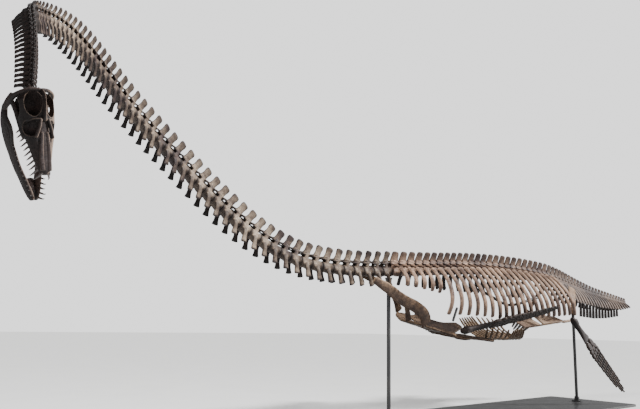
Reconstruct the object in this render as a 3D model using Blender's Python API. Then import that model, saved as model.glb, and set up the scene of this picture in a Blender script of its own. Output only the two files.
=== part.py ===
"""Mounted skeleton of a very long-necked plesiosaur (an elasmosaur) on its steel display stand.

Metres, +Z up. The head is towards -X, the tail towards +X, the animal's left side towards -Y.
The bones are laid out about the middle of the trunk's column; the last step puts the origin at
the middle of the footprint, at floor level.
"""
import math

import bmesh
import bpy
import numpy as np
from mathutils import Matrix, Vector

# ------------------------------------------------------------------ driving dimensions
COLUMN_HEIGHT = 1.72  # middle of the trunk's column above the floor
NECK_BONES = 70
TRUNK_BONES = 25
SACRUM_BONES = 4
TAIL_BONES = 22
BONES = NECK_BONES + TRUNK_BONES + SACRUM_BONES + TAIL_BONES
NECK_LENGTHS = 7
TAIL_LENGTHS = 2
LEVEL_BONE = 86  # the vertebra that stands upright: its spine points straight up
FACE_GAP = 0.0003  # between two pieces that touch
BODY_SHARE = 0.60  # of a vertebra's pitch that its spine and ribs take at their roots

# The middle of the column from the skull to the tip of the tail, relative to the trunk's middle.
ROUTE = (
    (-6.39, -1.97, 0.34), (-6.38, -1.92, 0.53), (-6.37, -1.85, 0.67), (-6.35, -1.74, 0.78),
    (-6.28, -1.57, 0.87), (-6.11, -1.32, 0.97), (-5.82, -0.97, 1.04), (-5.22, -0.34, 0.97),
    (-4.23, 0.18, 0.55), (-3.08, 0.22, -0.04), (-1.84, 0.02, -0.10), (-0.37, 0.01, 0.00),
    (1.23, -0.02, -0.04), (2.51, 0.03, -0.18), (3.27, -0.14, -0.30),
)
# vertebra number: (pitch, half width, half height of its body, tip of its spine above its middle)
VERTEBRAE = {
    1: (0.027, 0.020, 0.017, 0.058),
    12: (0.031, 0.024, 0.020, 0.068),
    20: (0.054, 0.033, 0.027, 0.095),
    31: (0.085, 0.044, 0.036, 0.132),
    44: (0.119, 0.058, 0.047, 0.172),
    54: (0.132, 0.070, 0.057, 0.205),
    70: (0.123, 0.082, 0.066, 0.213),
    77: (0.123, 0.080, 0.064, 0.207),
    95: (0.123, 0.076, 0.060, 0.220),
    99: (0.112, 0.072, 0.056, 0.200),
    103: (0.095, 0.062, 0.050, 0.172),
    110: (0.075, 0.044, 0.038, 0.125),
    121: (0.052, 0.032, 0.028, 0.085),
}
# The body leans its left side down: degrees by vertebra number, and for each girdle
BANK = {62: 0.0, 75: 21.0, 84: 18.0, 92: 14.0, 98: 8.0, 101: 4.0, 108: 0.0}
SHOULDER_BANK = math.radians(20)
BELLY_BANK = math.radians(15)
HIP_BANK = math.radians(8)
NECK_RIB_DROP = {1: 0.026, 20: 0.040, 31: 0.050, 54: 0.075, 70: 0.080}
# A full rib from its root: (across, up, share of the sweep, half width, half thickness)
RIB_PATH = (
    (0.180, 0.030, 0.00, 0.024, 0.017),
    (0.370, -0.120, 0.25, 0.027, 0.013),
    (0.460, -0.300, 0.65, 0.026, 0.013),
    (0.460, -0.450, 1.00, 0.021, 0.011),
)
FIRST_LONG_RIB = 76
RIB_SWEEP = {75: 0.0, 76: -0.04, 77: 0.03, 79: 0.10, 82: 0.18, 85: 0.21, 95: 0.25}  # of its tip
RIB_SCALE = {71: 0.27, 75: 0.40, 76: 0.84, 82: 1.00, 88: 1.00, 95: 0.74}
RIGHT_RIB_SHARE = 0.84  # the right ribs that are long are shorter than the left ones
TAIL_RIB_OUT = {96: 0.08, 99: 0.08, 101: 0.11, 110: 0.10, 121: 0.05}
TAIL_RIB_DOWN = {96: 0.05, 99: 0.06, 101: 0.16, 110: 0.15, 121: 0.07}
TAIL_RIB_BACK = {96: 0.0, 99: 0.02, 101: 0.08, 121: 0.04}
CHEVRONS = range(106, 119)
CHEVRON_REACH = {106: 0.36, 110: 0.34, 114: 0.29, 118: 0.22}

SKULL_LENGTH = 0.405
SKULL_FORWARD = Vector((0.26, -0.18, -0.94))
SKULL_UP = Vector((0.0, -0.97, 0.18))
# Share of the skull's length: (half width, top, bottom)
SKULL_SHAPE = (
    (0.03, 0.056, 0.098, -0.045),
    (0.12, 0.090, 0.115, -0.065),
    (0.24, 0.092, 0.103, -0.055),
    (0.36, 0.086, 0.078, -0.042),
    (0.47, 0.082, 0.070, -0.034),
    (0.58, 0.070, 0.060, -0.030),
    (0.68, 0.055, 0.045, -0.030),
    (0.78, 0.044, 0.032, -0.029),
    (0.88, 0.036, 0.020, -0.028),
    (0.96, 0.026, 0.010, -0.024),
    (1.00, 0.012, 0.000, -0.016),
)
GAPE = math.radians(16)
JAW_JOINT = (0.092, -0.080, 0.060)  # half width, height and place forward of the occiput

PLATE_LENGTH = 4.6
PLATE_WIDTH = 1.3
PLATE_THICKNESS = 0.03
ROD_RADIUS = 0.022
RAIL_RADIUS = 0.014
SHOULDER_ROD_RADIUS = 0.011
FRONT_ROD_X = -1.88
REAR_ROD_X = 2.00
ROD_HEAD_GAP = 0.009  # left by the slope of the column over a flat rod end

MATERIALS = {
    "bone_tan": ((0.42, 0.33, 0.25), 0.70, 0.0),
    "bone_grey": ((0.36, 0.31, 0.26), 0.72, 0.0),
    "bone_dark": ((0.10, 0.07, 0.06), 0.65, 0.0),
    "steel_black": ((0.02, 0.02, 0.02), 0.45, 0.6),
}


# ------------------------------------------------------------------ helpers
def remove_everything():
    for obj in list(bpy.data.objects):
        bpy.data.objects.remove(obj)


def material(name):
    """The named material, made when it is first asked for."""
    found = bpy.data.materials.get(name)
    if found:
        return found
    colour, roughness, metallic = MATERIALS[name]
    made = bpy.data.materials.new(name)
    made.use_nodes = True
    shader = made.node_tree.nodes["Principled BSDF"]
    shader.inputs["Base Color"].default_value = (*colour, 1.0)
    shader.inputs["Roughness"].default_value = roughness
    shader.inputs["Metallic"].default_value = metallic
    return made


def finish(name, bm, finish_name):
    """Turns a closed bmesh into a named object with its material."""
    bmesh.ops.recalc_face_normals(bm, faces=bm.faces)
    bmesh.ops.triangulate(bm, faces=[f for f in bm.faces if len(f.verts) > 4])
    mesh = bpy.data.meshes.new(name)
    bm.to_mesh(mesh)
    bm.free()
    mesh.materials.append(material(finish_name))
    obj = bpy.data.objects.new(name, mesh)
    bpy.context.collection.objects.link(obj)
    return obj


def face_of(bm, points):
    return bm.faces.new([bm.verts.new(p) for p in points])


def extrude(bm, faces):
    """Extrudes faces as one region; a first flat piece keeps its own faces as its other end."""
    on_body = any(other not in faces for f in faces for e in f.edges for other in e.link_faces)
    made = bmesh.ops.extrude_face_region(bm, geom=faces)["geom"]
    if on_body:
        bmesh.ops.delete(bm, geom=faces, context="FACES")
    return made


def grow(bm, face, targets):
    """Extrudes a face; each corner of its copy goes to the target with that corner's number."""
    start = [v.co.copy() for v in face.verts]
    made = extrude(bm, [face])
    cap = next(g for g in made if isinstance(g, bmesh.types.BMFace))
    for v in cap.verts:
        nearest = min(range(len(start)), key=lambda k: (start[k] - v.co).length_squared)
        v.co = targets[nearest]
    return cap


def push(bm, faces, place):
    """Extrudes faces as one region and puts each new corner where place() says."""
    made = extrude(bm, faces)
    for v in (g for g in made if isinstance(g, bmesh.types.BMVert)):
        v.co = place(v.co.copy())
    return [g for g in made if isinstance(g, bmesh.types.BMFace)]


def shared_face(verts):
    """The face that holds all of these corners."""
    return next(f for f in verts[0].link_faces if all(v in f.verts for v in verts))


def table_value(table, number):
    keys = sorted(table)
    return float(np.interp(number, keys, [table[k] for k in keys]))


def nearest_signs(places):
    """Which corner of an upright square each of four corners, in order, lies nearest to."""
    square = [(-1, -1), (1, -1), (1, 1), (-1, 1)]
    orders = [turned[k:] + turned[:k] for turned in (square, square[::-1]) for k in range(4)]
    return max(orders, key=lambda order: sum(a * s + b * r for (a, b), (s, r) in zip(places, order)))


def bar(bm, face, path, up_hint):
    """Grows a four-cornered face along a path of (point, half width, half thickness).

    The width lies along up_hint as far as the path allows, and the thickness across both.
    """
    start = [v.co.copy() for v in face.verts]
    middle = sum(start, Vector()) / len(start)
    points = [middle] + [p[0] for p in path]
    ahead = (points[1] - points[0]).normalized()
    wide = (up_hint - ahead * up_hint.dot(ahead)).normalized()
    thick = ahead.cross(wide)
    signs = nearest_signs([((c - middle).dot(wide), (c - middle).dot(thick)) for c in start])
    for k, (point, half_width, half_thickness) in enumerate(path, start=1):
        after = points[min(k + 1, len(points) - 1)]
        ahead = (after - points[k - 1]).normalized()
        wide = (up_hint - ahead * up_hint.dot(ahead)).normalized()
        thick = ahead.cross(wide)
        face = grow(bm, face, [point + wide * half_width * a + thick * half_thickness * b
                               for a, b in signs])
    return face


def straight_bar(bm, path, up_hint):
    """A closed bar along a path of (point, half width, half thickness)."""
    (first, half_width, half_thickness) = path[0]
    ahead = (path[1][0] - first).normalized()
    wide = (up_hint - ahead * up_hint.dot(ahead)).normalized()
    thick = ahead.cross(wide)
    corners = [first + wide * half_width * a + thick * half_thickness * b
               for a, b in ((-1, -1), (1, -1), (1, 1), (-1, 1))]
    return bar(bm, face_of(bm, corners), path[1:], up_hint)


def rod(name, path, radius, sides=8):
    """A round rod through the points of a path."""
    curve = bpy.data.curves.new(name, "CURVE")
    curve.dimensions = "3D"
    curve.bevel_depth = radius
    curve.bevel_resolution = sides // 4
    curve.use_fill_caps = True
    spline = curve.splines.new("POLY")
    spline.points.add(len(path) - 1)
    for point, place in zip(spline.points, path):
        point.co = (*place, 1.0)
    curve.materials.append(material("steel_black"))
    obj = bpy.data.objects.new(name, curve)
    bpy.context.collection.objects.link(obj)
    return obj


# ------------------------------------------------------------------ the column's curve
def spline_through(points):
    """A natural cubic spline through the points, as a function of the distance along its chords."""
    points = np.array(points, float)
    knots = np.concatenate([[0.0], np.cumsum(np.linalg.norm(np.diff(points, axis=0), axis=1))])
    count = len(points)
    gaps = np.diff(knots)
    system = np.eye(count)
    right = np.zeros_like(points)
    for k in range(1, count - 1):
        system[k, k - 1:k + 2] = gaps[k - 1], 2 * (gaps[k - 1] + gaps[k]), gaps[k]
        right[k] = 6 * ((points[k + 1] - points[k]) / gaps[k] - (points[k] - points[k - 1]) / gaps[k - 1])
    bend = np.linalg.solve(system, right)

    def at(distance):
        k = int(np.clip(np.searchsorted(knots, distance) - 1, 0, count - 2))
        before, after, gap = distance - knots[k], knots[k + 1] - distance, gaps[k]
        return ((bend[k] * after ** 3 + bend[k + 1] * before ** 3) / (6 * gap)
                + (points[k] / gap - bend[k] * gap / 6) * after
                + (points[k + 1] / gap - bend[k + 1] * gap / 6) * before)

    return at, knots[-1]


class Column:
    """The column's curve measured by vertebra number, with upright frames carried along it."""

    def __init__(self):
        at, chord_length = spline_through(ROUTE)
        fine = np.linspace(0, chord_length, 1200)
        places = np.array([at(d) for d in fine])
        walked = np.concatenate([[0.0], np.cumsum(np.linalg.norm(np.diff(places, axis=0), axis=1))])
        numbers = np.arange(0.5, BONES + 0.75, 0.1)
        pitches = np.array([self.size(n)[0] for n in numbers])
        steps = np.concatenate([[0.0], np.cumsum((pitches[1:] + pitches[:-1]) / 2 * 0.1)])
        steps *= walked[-1] / steps[-1]
        self.numbers = numbers
        self.places = np.stack([np.interp(steps, walked, places[:, k]) for k in range(3)], axis=1)
        self.backs = np.gradient(self.places, axis=0)
        self.backs /= np.linalg.norm(self.backs, axis=1)[:, None]
        self.ups = self.carried_ups(int(np.argmin(abs(numbers - LEVEL_BONE))))

    @staticmethod
    def size(number):
        """Pitch, half width, half height and spine tip of a vertebra."""
        keys = sorted(VERTEBRAE)
        return tuple(float(np.interp(number, keys, [VERTEBRAE[k][j] for k in keys])) for j in range(4))

    def carried_ups(self, level):
        ups = np.zeros_like(self.places)
        ups[level] = (0.0, 0.0, 1.0)
        order = [(k, k - 1) for k in range(level + 1, len(ups))]
        order += [(k, k + 1) for k in range(level - 1, -1, -1)]
        order.insert(0, (level, level))
        for k, before in order:
            up = ups[before] - self.backs[k] * ups[before].dot(self.backs[k])
            ups[k] = up / np.linalg.norm(up)
        keys = sorted(BANK)
        angles = np.radians(np.interp(self.numbers, keys, [BANK[k] for k in keys]))[:, None]
        return ups * np.cos(angles) + np.cross(self.backs, ups) * np.sin(angles)

    def frame(self, number):
        """Middle, backward, left and up directions at a vertebra number."""
        def read(values):
            return Vector([float(np.interp(number, self.numbers, values[:, k])) for k in range(3)])
        middle, back = read(self.places), read(self.backs).normalized()
        up = read(self.ups)
        up = (up - back * up.dot(back)).normalized()
        return middle, back, back.cross(up), up


def at_frame(frame, across, up, along=0.0):
    middle, back, left, above = frame
    return middle + left * across + above * up + back * along


# ------------------------------------------------------------------ vertebrae
def whole_section(width, height):
    """Corners of a vertebra's body: (across, up), from the top left round by the left side."""
    left = [(0.38, 0.95), (1.00, 0.15), (0.60, -1.00)]
    corners = left + [(-a, u) for a, u in reversed(left)]
    return [(a * width, u * height) for a, u in corners]


def half_section(width, height, side):
    """Corners of the left (side 1) or right (side -1) half of a vertebra's body."""
    inner = FACE_GAP / 2
    corners = [(inner, 0.95 * height), (0.42 * width, 0.95 * height), (width, 0.20 * height),
               (0.60 * width, -0.85 * height), (inner, -height)]
    return [(a * side, u) for a, u in corners]


def chain(column, numbers, section):
    """One closed body for a row of vertebrae; returns it with the corner rings of each bone."""
    bm = bmesh.new()
    half = BODY_SHARE / 2

    def ring(number, shift=0.0):
        _, width, height, _ = column.size(number)
        frame = column.frame(number)
        return [at_frame(frame, a, u, shift) for a, u in section(width, height)]

    cap = face_of(bm, ring(numbers[0] - 0.5, FACE_GAP / 2))
    rings = {}
    for number in numbers:
        cap = grow(bm, cap, ring(number - half))
        front = list(cap.verts)
        cap = grow(bm, cap, ring(number + half))
        rings[number] = (front, list(cap.verts))
    grow(bm, cap, ring(numbers[-1] + 0.5, -FACE_GAP / 2))
    return bm, rings


def side_face(rings, number, corner):
    """The face between two neighbouring corners of a bone's front and rear rings."""
    front, rear = rings[number]
    after = (corner + 1) % len(front)
    return shared_face([front[corner], front[after], rear[corner], rear[after]])


def blade(bm, column, face, number, tip, length_share, thickness, lean=0.0, foot=0.0):
    """Grows a spine from a bone's face: a blade as long as length_share of the pitch at its tip."""
    pitch = column.size(number)[0]
    middle, back, left, _ = frame = column.frame(number)
    targets = []
    for v in face.verts:
        offset = v.co - middle
        along = math.copysign(pitch * length_share / 2, offset.dot(back)) + lean
        if foot:
            across = thickness if abs(offset.dot(left)) > FACE_GAP else FACE_GAP / 2
            across = math.copysign(across, foot)
        else:
            across = math.copysign(thickness, offset.dot(left))
        targets.append(at_frame(frame, across, tip, along))
    return grow(bm, face, targets)


def neck_length(column, name, numbers):
    bm, rings = chain(column, numbers, whole_section)
    for number in numbers:
        pitch, width, height, tip = column.size(number)
        frame = column.frame(number)
        blade(bm, column, side_face(rings, number, 5), number, tip, 0.54, 0.13 * width, 0.20 * pitch)
        drop = table_value(NECK_RIB_DROP, number)
        for corner, side in ((1, 1), (3, -1)):
            tip_place = at_frame(frame, side * (1.05 * width + 0.012), -height - drop, 0.30 * pitch)
            bar(bm, side_face(rings, number, corner), [(tip_place, 0.22 * pitch, 0.11 * width)],
                frame[1])
    return finish(name, bm, "bone_grey")


def rib(bm, column, face, number, side):
    """A curved rib: short ones, ahead of the shoulder, need fewer stations."""
    frame = column.frame(number)
    scale = table_value(RIB_SCALE, number)
    if side < 0 and number >= FIRST_LONG_RIB:
        scale *= RIGHT_RIB_SHARE
    sweep = table_value(RIB_SWEEP, number)
    root_across, root_up = RIB_PATH[0][:2]
    stations = RIB_PATH if number >= FIRST_LONG_RIB else RIB_PATH[:1] + RIB_PATH[1::2]
    path = []
    for across, up, back, half_width, half_thickness in stations:
        x = root_across + (across - root_across) * scale
        z = root_up + (up - root_up) * scale
        path.append((at_frame(frame, side * x, z, back * sweep), half_width, half_thickness))
    bar(bm, face, path, frame[1])


def rib_cage(column, side_name):
    side = 1 if side_name == "left" else -1
    first = NECK_BONES + 1
    numbers = list(range(first, first + TRUNK_BONES))
    bm, rings = chain(column, numbers, lambda w, h: half_section(w, h, side))
    for number in numbers:
        pitch, width, _, tip = column.size(number)
        blade(bm, column, side_face(rings, number, 0), number, tip, 0.66, 0.12 * width,
              0.05 * pitch, foot=side)
        rib(bm, column, side_face(rings, number, 1), number, side)
    return finish(f"rib_cage_{side_name}", bm, "bone_tan")


def tail_length(column, name, numbers):
    """A length of tail, or the sacrum: spines above, short ribs at the sides, chevrons below."""
    bm, rings = chain(column, numbers, whole_section)
    for number in numbers:
        pitch, width, height, tip = column.size(number)
        frame = column.frame(number)
        blade(bm, column, side_face(rings, number, 5), number, tip, 0.56, 0.13 * width, 0.08 * pitch)
        out, down, back = (table_value(table, number)
                           for table in (TAIL_RIB_OUT, TAIL_RIB_DOWN, TAIL_RIB_BACK))
        for corner, side in ((1, 1), (3, -1)):
            tip_place = at_frame(frame, side * (width + out), -height - down, back)
            bar(bm, side_face(rings, number, corner), [(tip_place, 0.20 * pitch, 0.009)], frame[1])
        if number in CHEVRONS:
            reach = table_value(CHEVRON_REACH, number)
            blade(bm, column, side_face(rings, number, 2), number, -reach, 0.50, 0.12 * width,
                  0.25 * pitch)
    return finish(name, bm, "bone_grey")


# ------------------------------------------------------------------ head
def head_frame(column):
    """Turns (left, up, forward) measured from the occiput into the column's space."""
    middle, back, _, _ = column.frame(0.5)
    forward = SKULL_FORWARD.normalized()
    up = (SKULL_UP - forward * SKULL_UP.dot(forward)).normalized()
    turn = Matrix((up.cross(forward), up, forward)).transposed().to_4x4()
    return Matrix.Translation(middle - back * 0.004) @ turn


def skull_ring(half_width, top, bottom, forward):
    middle = 0.35 * top + 0.65 * bottom
    left = [(0.16, top), (0.62, 0.82 * top + 0.18 * middle), (1.0, middle), (0.86, bottom)]
    corners = left + [(-a, u) for a, u in reversed(left)]
    return [Vector((a * half_width, u, forward)) for a, u in corners]


def tooth(bm, face, tip):
    """Pulls a face out into a tooth: a narrower neck and a small flat end."""
    middle = face.calc_center_median()
    targets = [middle + (v.co - middle) * 0.22 + tip for v in face.verts]
    return grow(bm, face, targets)


def cutter(points, along):
    """A prism that cuts: its outline swept along a direction."""
    bm = bmesh.new()
    face = face_of(bm, points)
    grow(bm, face, [p + along for p in points])
    bmesh.ops.recalc_face_normals(bm, faces=bm.faces)
    mesh = bpy.data.meshes.new("cutter")
    bm.to_mesh(mesh)
    bm.free()
    obj = bpy.data.objects.new("cutter", mesh)
    bpy.context.collection.objects.link(obj)
    obj.hide_render = True
    obj.display_type = "WIRE"
    return obj


def cut(obj, tool):
    modifier = obj.modifiers.new("cut", "BOOLEAN")
    modifier.operation = "DIFFERENCE"
    modifier.object = tool


def oval(middle, across, along, sides=8):
    """Corners of an oval round a middle point, from its two half axes."""
    steps = [2 * math.pi * (k + 0.5) / sides for k in range(sides)]
    return [middle + across * math.cos(t) + along * math.sin(t) for t in steps]


def skull(column):
    bm = bmesh.new()
    cap = None
    rings = []
    for share, half_width, top, bottom in SKULL_SHAPE:
        points = skull_ring(half_width, top, bottom, share * SKULL_LENGTH)
        cap = grow(bm, cap, points) if cap else face_of(bm, points)
        rings.append(list(cap.verts))
    occiput = shared_face(rings[0])
    grow(bm, occiput, [Vector((0.3 * v.co.x, 0.3 * v.co.y, 0.002)) for v in occiput.verts])
    for k in range(5, len(rings) - 2):
        for corner in (2, 4):
            front, rear = rings[k], rings[k + 1]
            face = shared_face([front[corner], front[corner + 1], rear[corner], rear[corner + 1]])
            side = math.copysign(1, corner == 2 or -1)
            tooth(bm, face, Vector((0.004 * side, -0.030, 0.004)))
    frame = head_frame(column)
    bmesh.ops.transform(bm, matrix=frame, verts=bm.verts)
    obj = finish("skull", bm, "bone_dark")
    turn = frame.to_3x3()
    for side in (1, -1):
        temple = oval(Vector((0.050 * side, 0.20, 0.085)), Vector((0.024, 0, 0)), Vector((0, 0, 0.040)))
        cut(obj, cutter([frame @ p for p in temple], turn @ Vector((0, -0.40, 0))))
        out = Vector((0.85 * side, 0.52, 0)).normalized()
        rise = Vector((-0.52 * side, 0.85, 0)).normalized()
        orbit = oval(Vector((0.050 * side, 0.020, 0.200)), rise * 0.026, Vector((0, 0, 0.034)))
        cut(obj, cutter([frame @ p for p in orbit], turn @ (out * 0.12)))
    return obj


def mandible(column):
    """Two branches from a joined chin, each with a joint end behind and teeth along the top."""
    bm = bmesh.new()
    half_width, height, forward = JAW_JOINT
    length = SKULL_LENGTH
    bmesh.ops.create_grid(bm, x_segments=2, y_segments=1, size=0.5)
    for v in bm.verts:
        v.co = Vector((0.024 * v.co.x, 0.044 * v.co.y - 0.020, length))
    faces = push(bm, list(bm.faces), lambda c: Vector((2.4 * c.x, c.y * 1.15, length - 0.05)))
    faces = push(bm, faces, lambda c: Vector((1.5 * c.x, c.y, length - 0.10)))
    for face in faces:
        side = math.copysign(1, face.calc_center_median().x)
        stations = [(0.047, -0.030, 0.26, 0.031), (0.064, -0.034, 0.19, 0.035),
                    (0.080, -0.028, 0.12, 0.038), (half_width, -0.016, 0.05, 0.034),
                    (half_width, 0.000, 0.00, 0.018), (half_width - 0.01, -0.004, -0.045, 0.012)]
        path = [(Vector((side * x, y, z)), tall, 0.009) for x, y, z, tall in stations]
        bar(bm, face, path, Vector((0, 1, 0)))
    tops = [f for f in bm.faces if f.calc_center_median().z > 0.14 and f.normal.length
            and f.calc_center_median().y > -0.004]
    for face in tops:
        place = face.calc_center_median()
        tooth(bm, face, Vector((0.10 * place.x, 0.040, 0.010)))
    tilt = Matrix.Rotation(GAPE, 4, "X")
    place = Matrix.Translation(Vector((0, height, forward)))
    bmesh.ops.transform(bm, matrix=head_frame(column) @ place @ tilt, verts=bm.verts)
    return finish("mandible", bm, "bone_dark")


# ------------------------------------------------------------------ limbs
LIMBS = {
    # name: (upper bone, joint, tip, direction of its width)
    "front_left": ("humerus", (-0.76, -0.09, -0.735), (0.53, -0.55, -0.455), (0.0, -0.90, 0.45)),
    "front_right": ("humerus", (-0.76, 0.58, -0.50), (0.30, 1.30, -0.75), (0.0, 0.95, 0.30)),
    "hind_left": ("femur", (1.43, -0.26, -0.56), (2.20, -0.55, -1.55), (1.0, 0.1, 0.3)),
    "hind_right": ("femur", (1.43, 0.41, -0.47), (2.20, 1.10, -0.75), (0.0, 0.95, 0.3)),
}
# Share of the limb's length: (half width, half thickness), for the upper bone
UPPER_BONE = ((0.0, 0.032, 0.028), (0.03, 0.050, 0.044), (0.09, 0.048, 0.038),
              (0.17, 0.054, 0.030), (0.24, 0.080, 0.025), (0.285, 0.100, 0.020))
FINGER_SHARE = (0.78, 0.92, 1.00, 0.94, 0.78)
FINGER_STEPS = 2
WRIST_HALF_WIDTH = 0.135
PADDLE_NARROWING = 0.45
PADDLE_BEND = 0.030
WRIST_SHARE = 0.46


def limb_frame(joint, tip, width):
    """Turns (across, through, along) measured from the joint into the column's space."""
    along = (Vector(tip) - Vector(joint)).normalized()
    across = Vector(width)
    across = (across - along * across.dot(along)).normalized()
    turn = Matrix((across, along.cross(across), along)).transposed().to_4x4()
    return Matrix.Translation(joint) @ turn


def upper_bone(name, frame, length):
    bm = bmesh.new()
    cap = None
    for share, half_width, half_thickness in UPPER_BONE:
        ring = oval(Vector((0, 0, share * length)), Vector((half_width, 0, 0)),
                    Vector((0, half_thickness, 0)), sides=6)
        cap = grow(bm, cap, ring) if cap else face_of(bm, ring)
    bmesh.ops.transform(bm, matrix=frame, verts=bm.verts)
    return finish(name, bm, "bone_dark")


def finger(bm, face, length, share):
    """One finger of the blade: all fingers draw together and bend back by the same rule."""
    reach = length * (share - WRIST_SHARE)
    start = face.calc_center_median()
    slot = WRIST_HALF_WIDTH / len(FINGER_SHARE)
    for step in range(1, FINGER_STEPS + 1):
        part = step / FINGER_STEPS
        along = reach * part / (length * (1 - WRIST_SHARE))
        narrowing = 1.0 - PADDLE_NARROWING * along
        middle = Vector((start.x * narrowing + PADDLE_BEND * along ** 2, 0, start.z + reach * part))
        half_width = slot * 0.86 * narrowing * (1.0 - 0.45 * part ** 3)
        half_thickness = 0.010 * (1.0 - 0.62 * part) + 0.006
        targets = [middle + Vector((math.copysign(half_width, v.co.x - face.calc_center_median().x),
                                    math.copysign(half_thickness, v.co.y), 0)) for v in face.verts]
        face = grow(bm, face, targets)
    return face


def paddle(name, frame, length):
    """Lower limb bones, wrist and five fingers, in one piece."""
    bm = bmesh.new()
    bmesh.ops.create_grid(bm, x_segments=len(FINGER_SHARE), y_segments=1, size=0.5)
    start = 0.285 * length + 0.002

    def section(half_width, half_thickness, along):
        def place(co):
            return Vector((co.x / reach[0] * half_width, math.copysign(half_thickness, co.y), along))
        return place

    reach = [0.5]
    for v in bm.verts:
        v.co = section(0.102, 0.018, start)(v.co)
    reach[0] = 0.102
    faces = push(bm, list(bm.faces), section(0.120, 0.019, 0.36 * length))
    reach[0] = 0.120
    faces = push(bm, faces, section(WRIST_HALF_WIDTH, 0.018, WRIST_SHARE * length))
    faces.sort(key=lambda f: f.calc_center_median().x)
    for face, share in zip(faces, FINGER_SHARE):
        finger(bm, face, length, share)
    bmesh.ops.transform(bm, matrix=frame, verts=bm.verts)
    return finish(name, bm, "bone_dark")


def limbs():
    for name, (bone, joint, tip, width) in LIMBS.items():
        frame = limb_frame(joint, tip, width)
        length = (Vector(tip) - Vector(joint)).length
        upper_bone(f"{bone}_{name.split('_')[1]}", frame, length)
        paddle(f"paddle_{name}", frame, length)


# ------------------------------------------------------------------ girdles and belly
def plate(outline, height_at, thickness, side):
    """A flat plate: an outline of (x, distance from the middle line), thickened downwards."""
    bm = bmesh.new()
    points = [Vector((x, -side * y, height_at(x, y))) for x, y in outline]
    face = face_of(bm, points)
    grow(bm, face, [p - Vector((0, 0, thickness)) for p in points])
    return bm


SCAPULA_PLATE = ((-1.47, 0.003), (-1.45, 0.100), (-1.36, 0.180), (-1.15, 0.250), (-0.98, 0.250),
                 (-0.82, 0.335), (-0.80, 0.260), (-0.90, 0.170), (-0.92, 0.003))
SCAPULA_BLADES = {  # by side: the right one lies closer to the neck
    1: ((-1.38, 0.235, -0.520), (-1.70, 0.185, -0.372), (-2.03, 0.225, -0.253), (-2.28, 0.224, -0.163)),
    -1: ((-1.38, 0.235, -0.520), (-1.70, 0.130, -0.335), (-2.03, 0.130, -0.225), (-2.28, 0.150, -0.160)),
}
CORACOID = ((-0.91, 0.003), (-0.89, 0.165), (-0.79, 0.258), (-0.72, 0.300), (-0.62, 0.345),
            (-0.42, 0.270), (-0.20, 0.280), (-0.02, 0.310), (-0.02, 0.210), (-0.24, 0.090),
            (-0.44, 0.003))
PUBIS = ((0.85, 0.003), (0.87, 0.16), (0.98, 0.30), (1.14, 0.345), (1.32, 0.330), (1.36, 0.26),
         (1.26, 0.16), (1.24, 0.003))
ISCHIUM = ((1.30, 0.003), (1.39, 0.20), (1.42, 0.265), (1.51, 0.265), (1.64, 0.22), (1.80, 0.14),
           (1.84, 0.003))


def scapula_height(x, y):
    return -0.655 - 0.21 * (x + 1.44) + 0.24 * y


def coracoid_height(x, y):
    return -0.79 - 0.06 * (x + 0.74) + 0.17 * y


def pubis_height(x, y):
    return -0.68 + 0.10 * (x - 0.85) + 0.31 * y


def lean(bm, angle):
    """Turns a piece left side down about the line of the column's middle."""
    bmesh.ops.transform(bm, matrix=Matrix.Rotation(angle, 4, "X"), verts=bm.verts)
    return bm


def scapula(side_name, side):
    bm = plate(SCAPULA_PLATE, scapula_height, 0.026, side)
    root = [Vector((x, -side * y, scapula_height(x, y))) for x, y in SCAPULA_PLATE[2:4]]
    face = next(f for f in bm.faces if len(f.verts) == 4
                and all(any((v.co - r).length < 1e-5 for v in f.verts) for r in root))
    path = [(Vector((x, -side * y, z)), half, 0.014)
            for (x, y, z), half in zip(SCAPULA_BLADES[side], (0.060, 0.050, 0.045, 0.034))]
    bar(bm, face, path, Vector((0.5, 0, 0.8)))
    obj = finish(f"scapula_{side_name}", lean(bm, SHOULDER_BANK), "bone_tan")
    turn = Matrix.Rotation(SHOULDER_BANK, 3, "X")
    hole = oval(Vector((-1.12, -side * 0.130, -0.40)), Vector((0.055, 0, 0)), Vector((0, 0.048, 0)))
    cut(obj, cutter([turn @ p for p in hole], turn @ Vector((0, 0, -0.50))))
    return obj


def ilium(side_name, side):
    bm = bmesh.new()
    path = [(Vector((1.475, -side * 0.335, -0.450)), 0.030, 0.018),
            (Vector((1.50, -side * 0.300, -0.340)), 0.028, 0.014),
            (Vector((1.56, -side * 0.240, -0.210)), 0.042, 0.013),
            (Vector((1.61, -side * 0.205, -0.110)), 0.054, 0.012)]
    straight_bar(bm, path, Vector((1, 0, 0.2)))
    return finish(f"ilium_{side_name}", lean(bm, HIP_BANK), "bone_tan")


def girdles():
    plates = (("coracoid", CORACOID, coracoid_height, 0.030, SHOULDER_BANK),
              ("pubis", PUBIS, pubis_height, 0.024, HIP_BANK),
              ("ischium", ISCHIUM, pubis_height, 0.022, HIP_BANK))
    for side_name, side in (("left", 1), ("right", -1)):
        scapula(side_name, side)
        for name, outline, height_at, thickness, angle in plates:
            bm = lean(plate(outline, height_at, thickness, side), angle)
            finish(f"{name}_{side_name}", bm, "bone_tan")
        ilium(side_name, side)


BELLY_ROWS = 8
BELLY_FIRST_X = 0.16
BELLY_STEP = 0.078
BELLY_HEIGHT = -0.86


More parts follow.
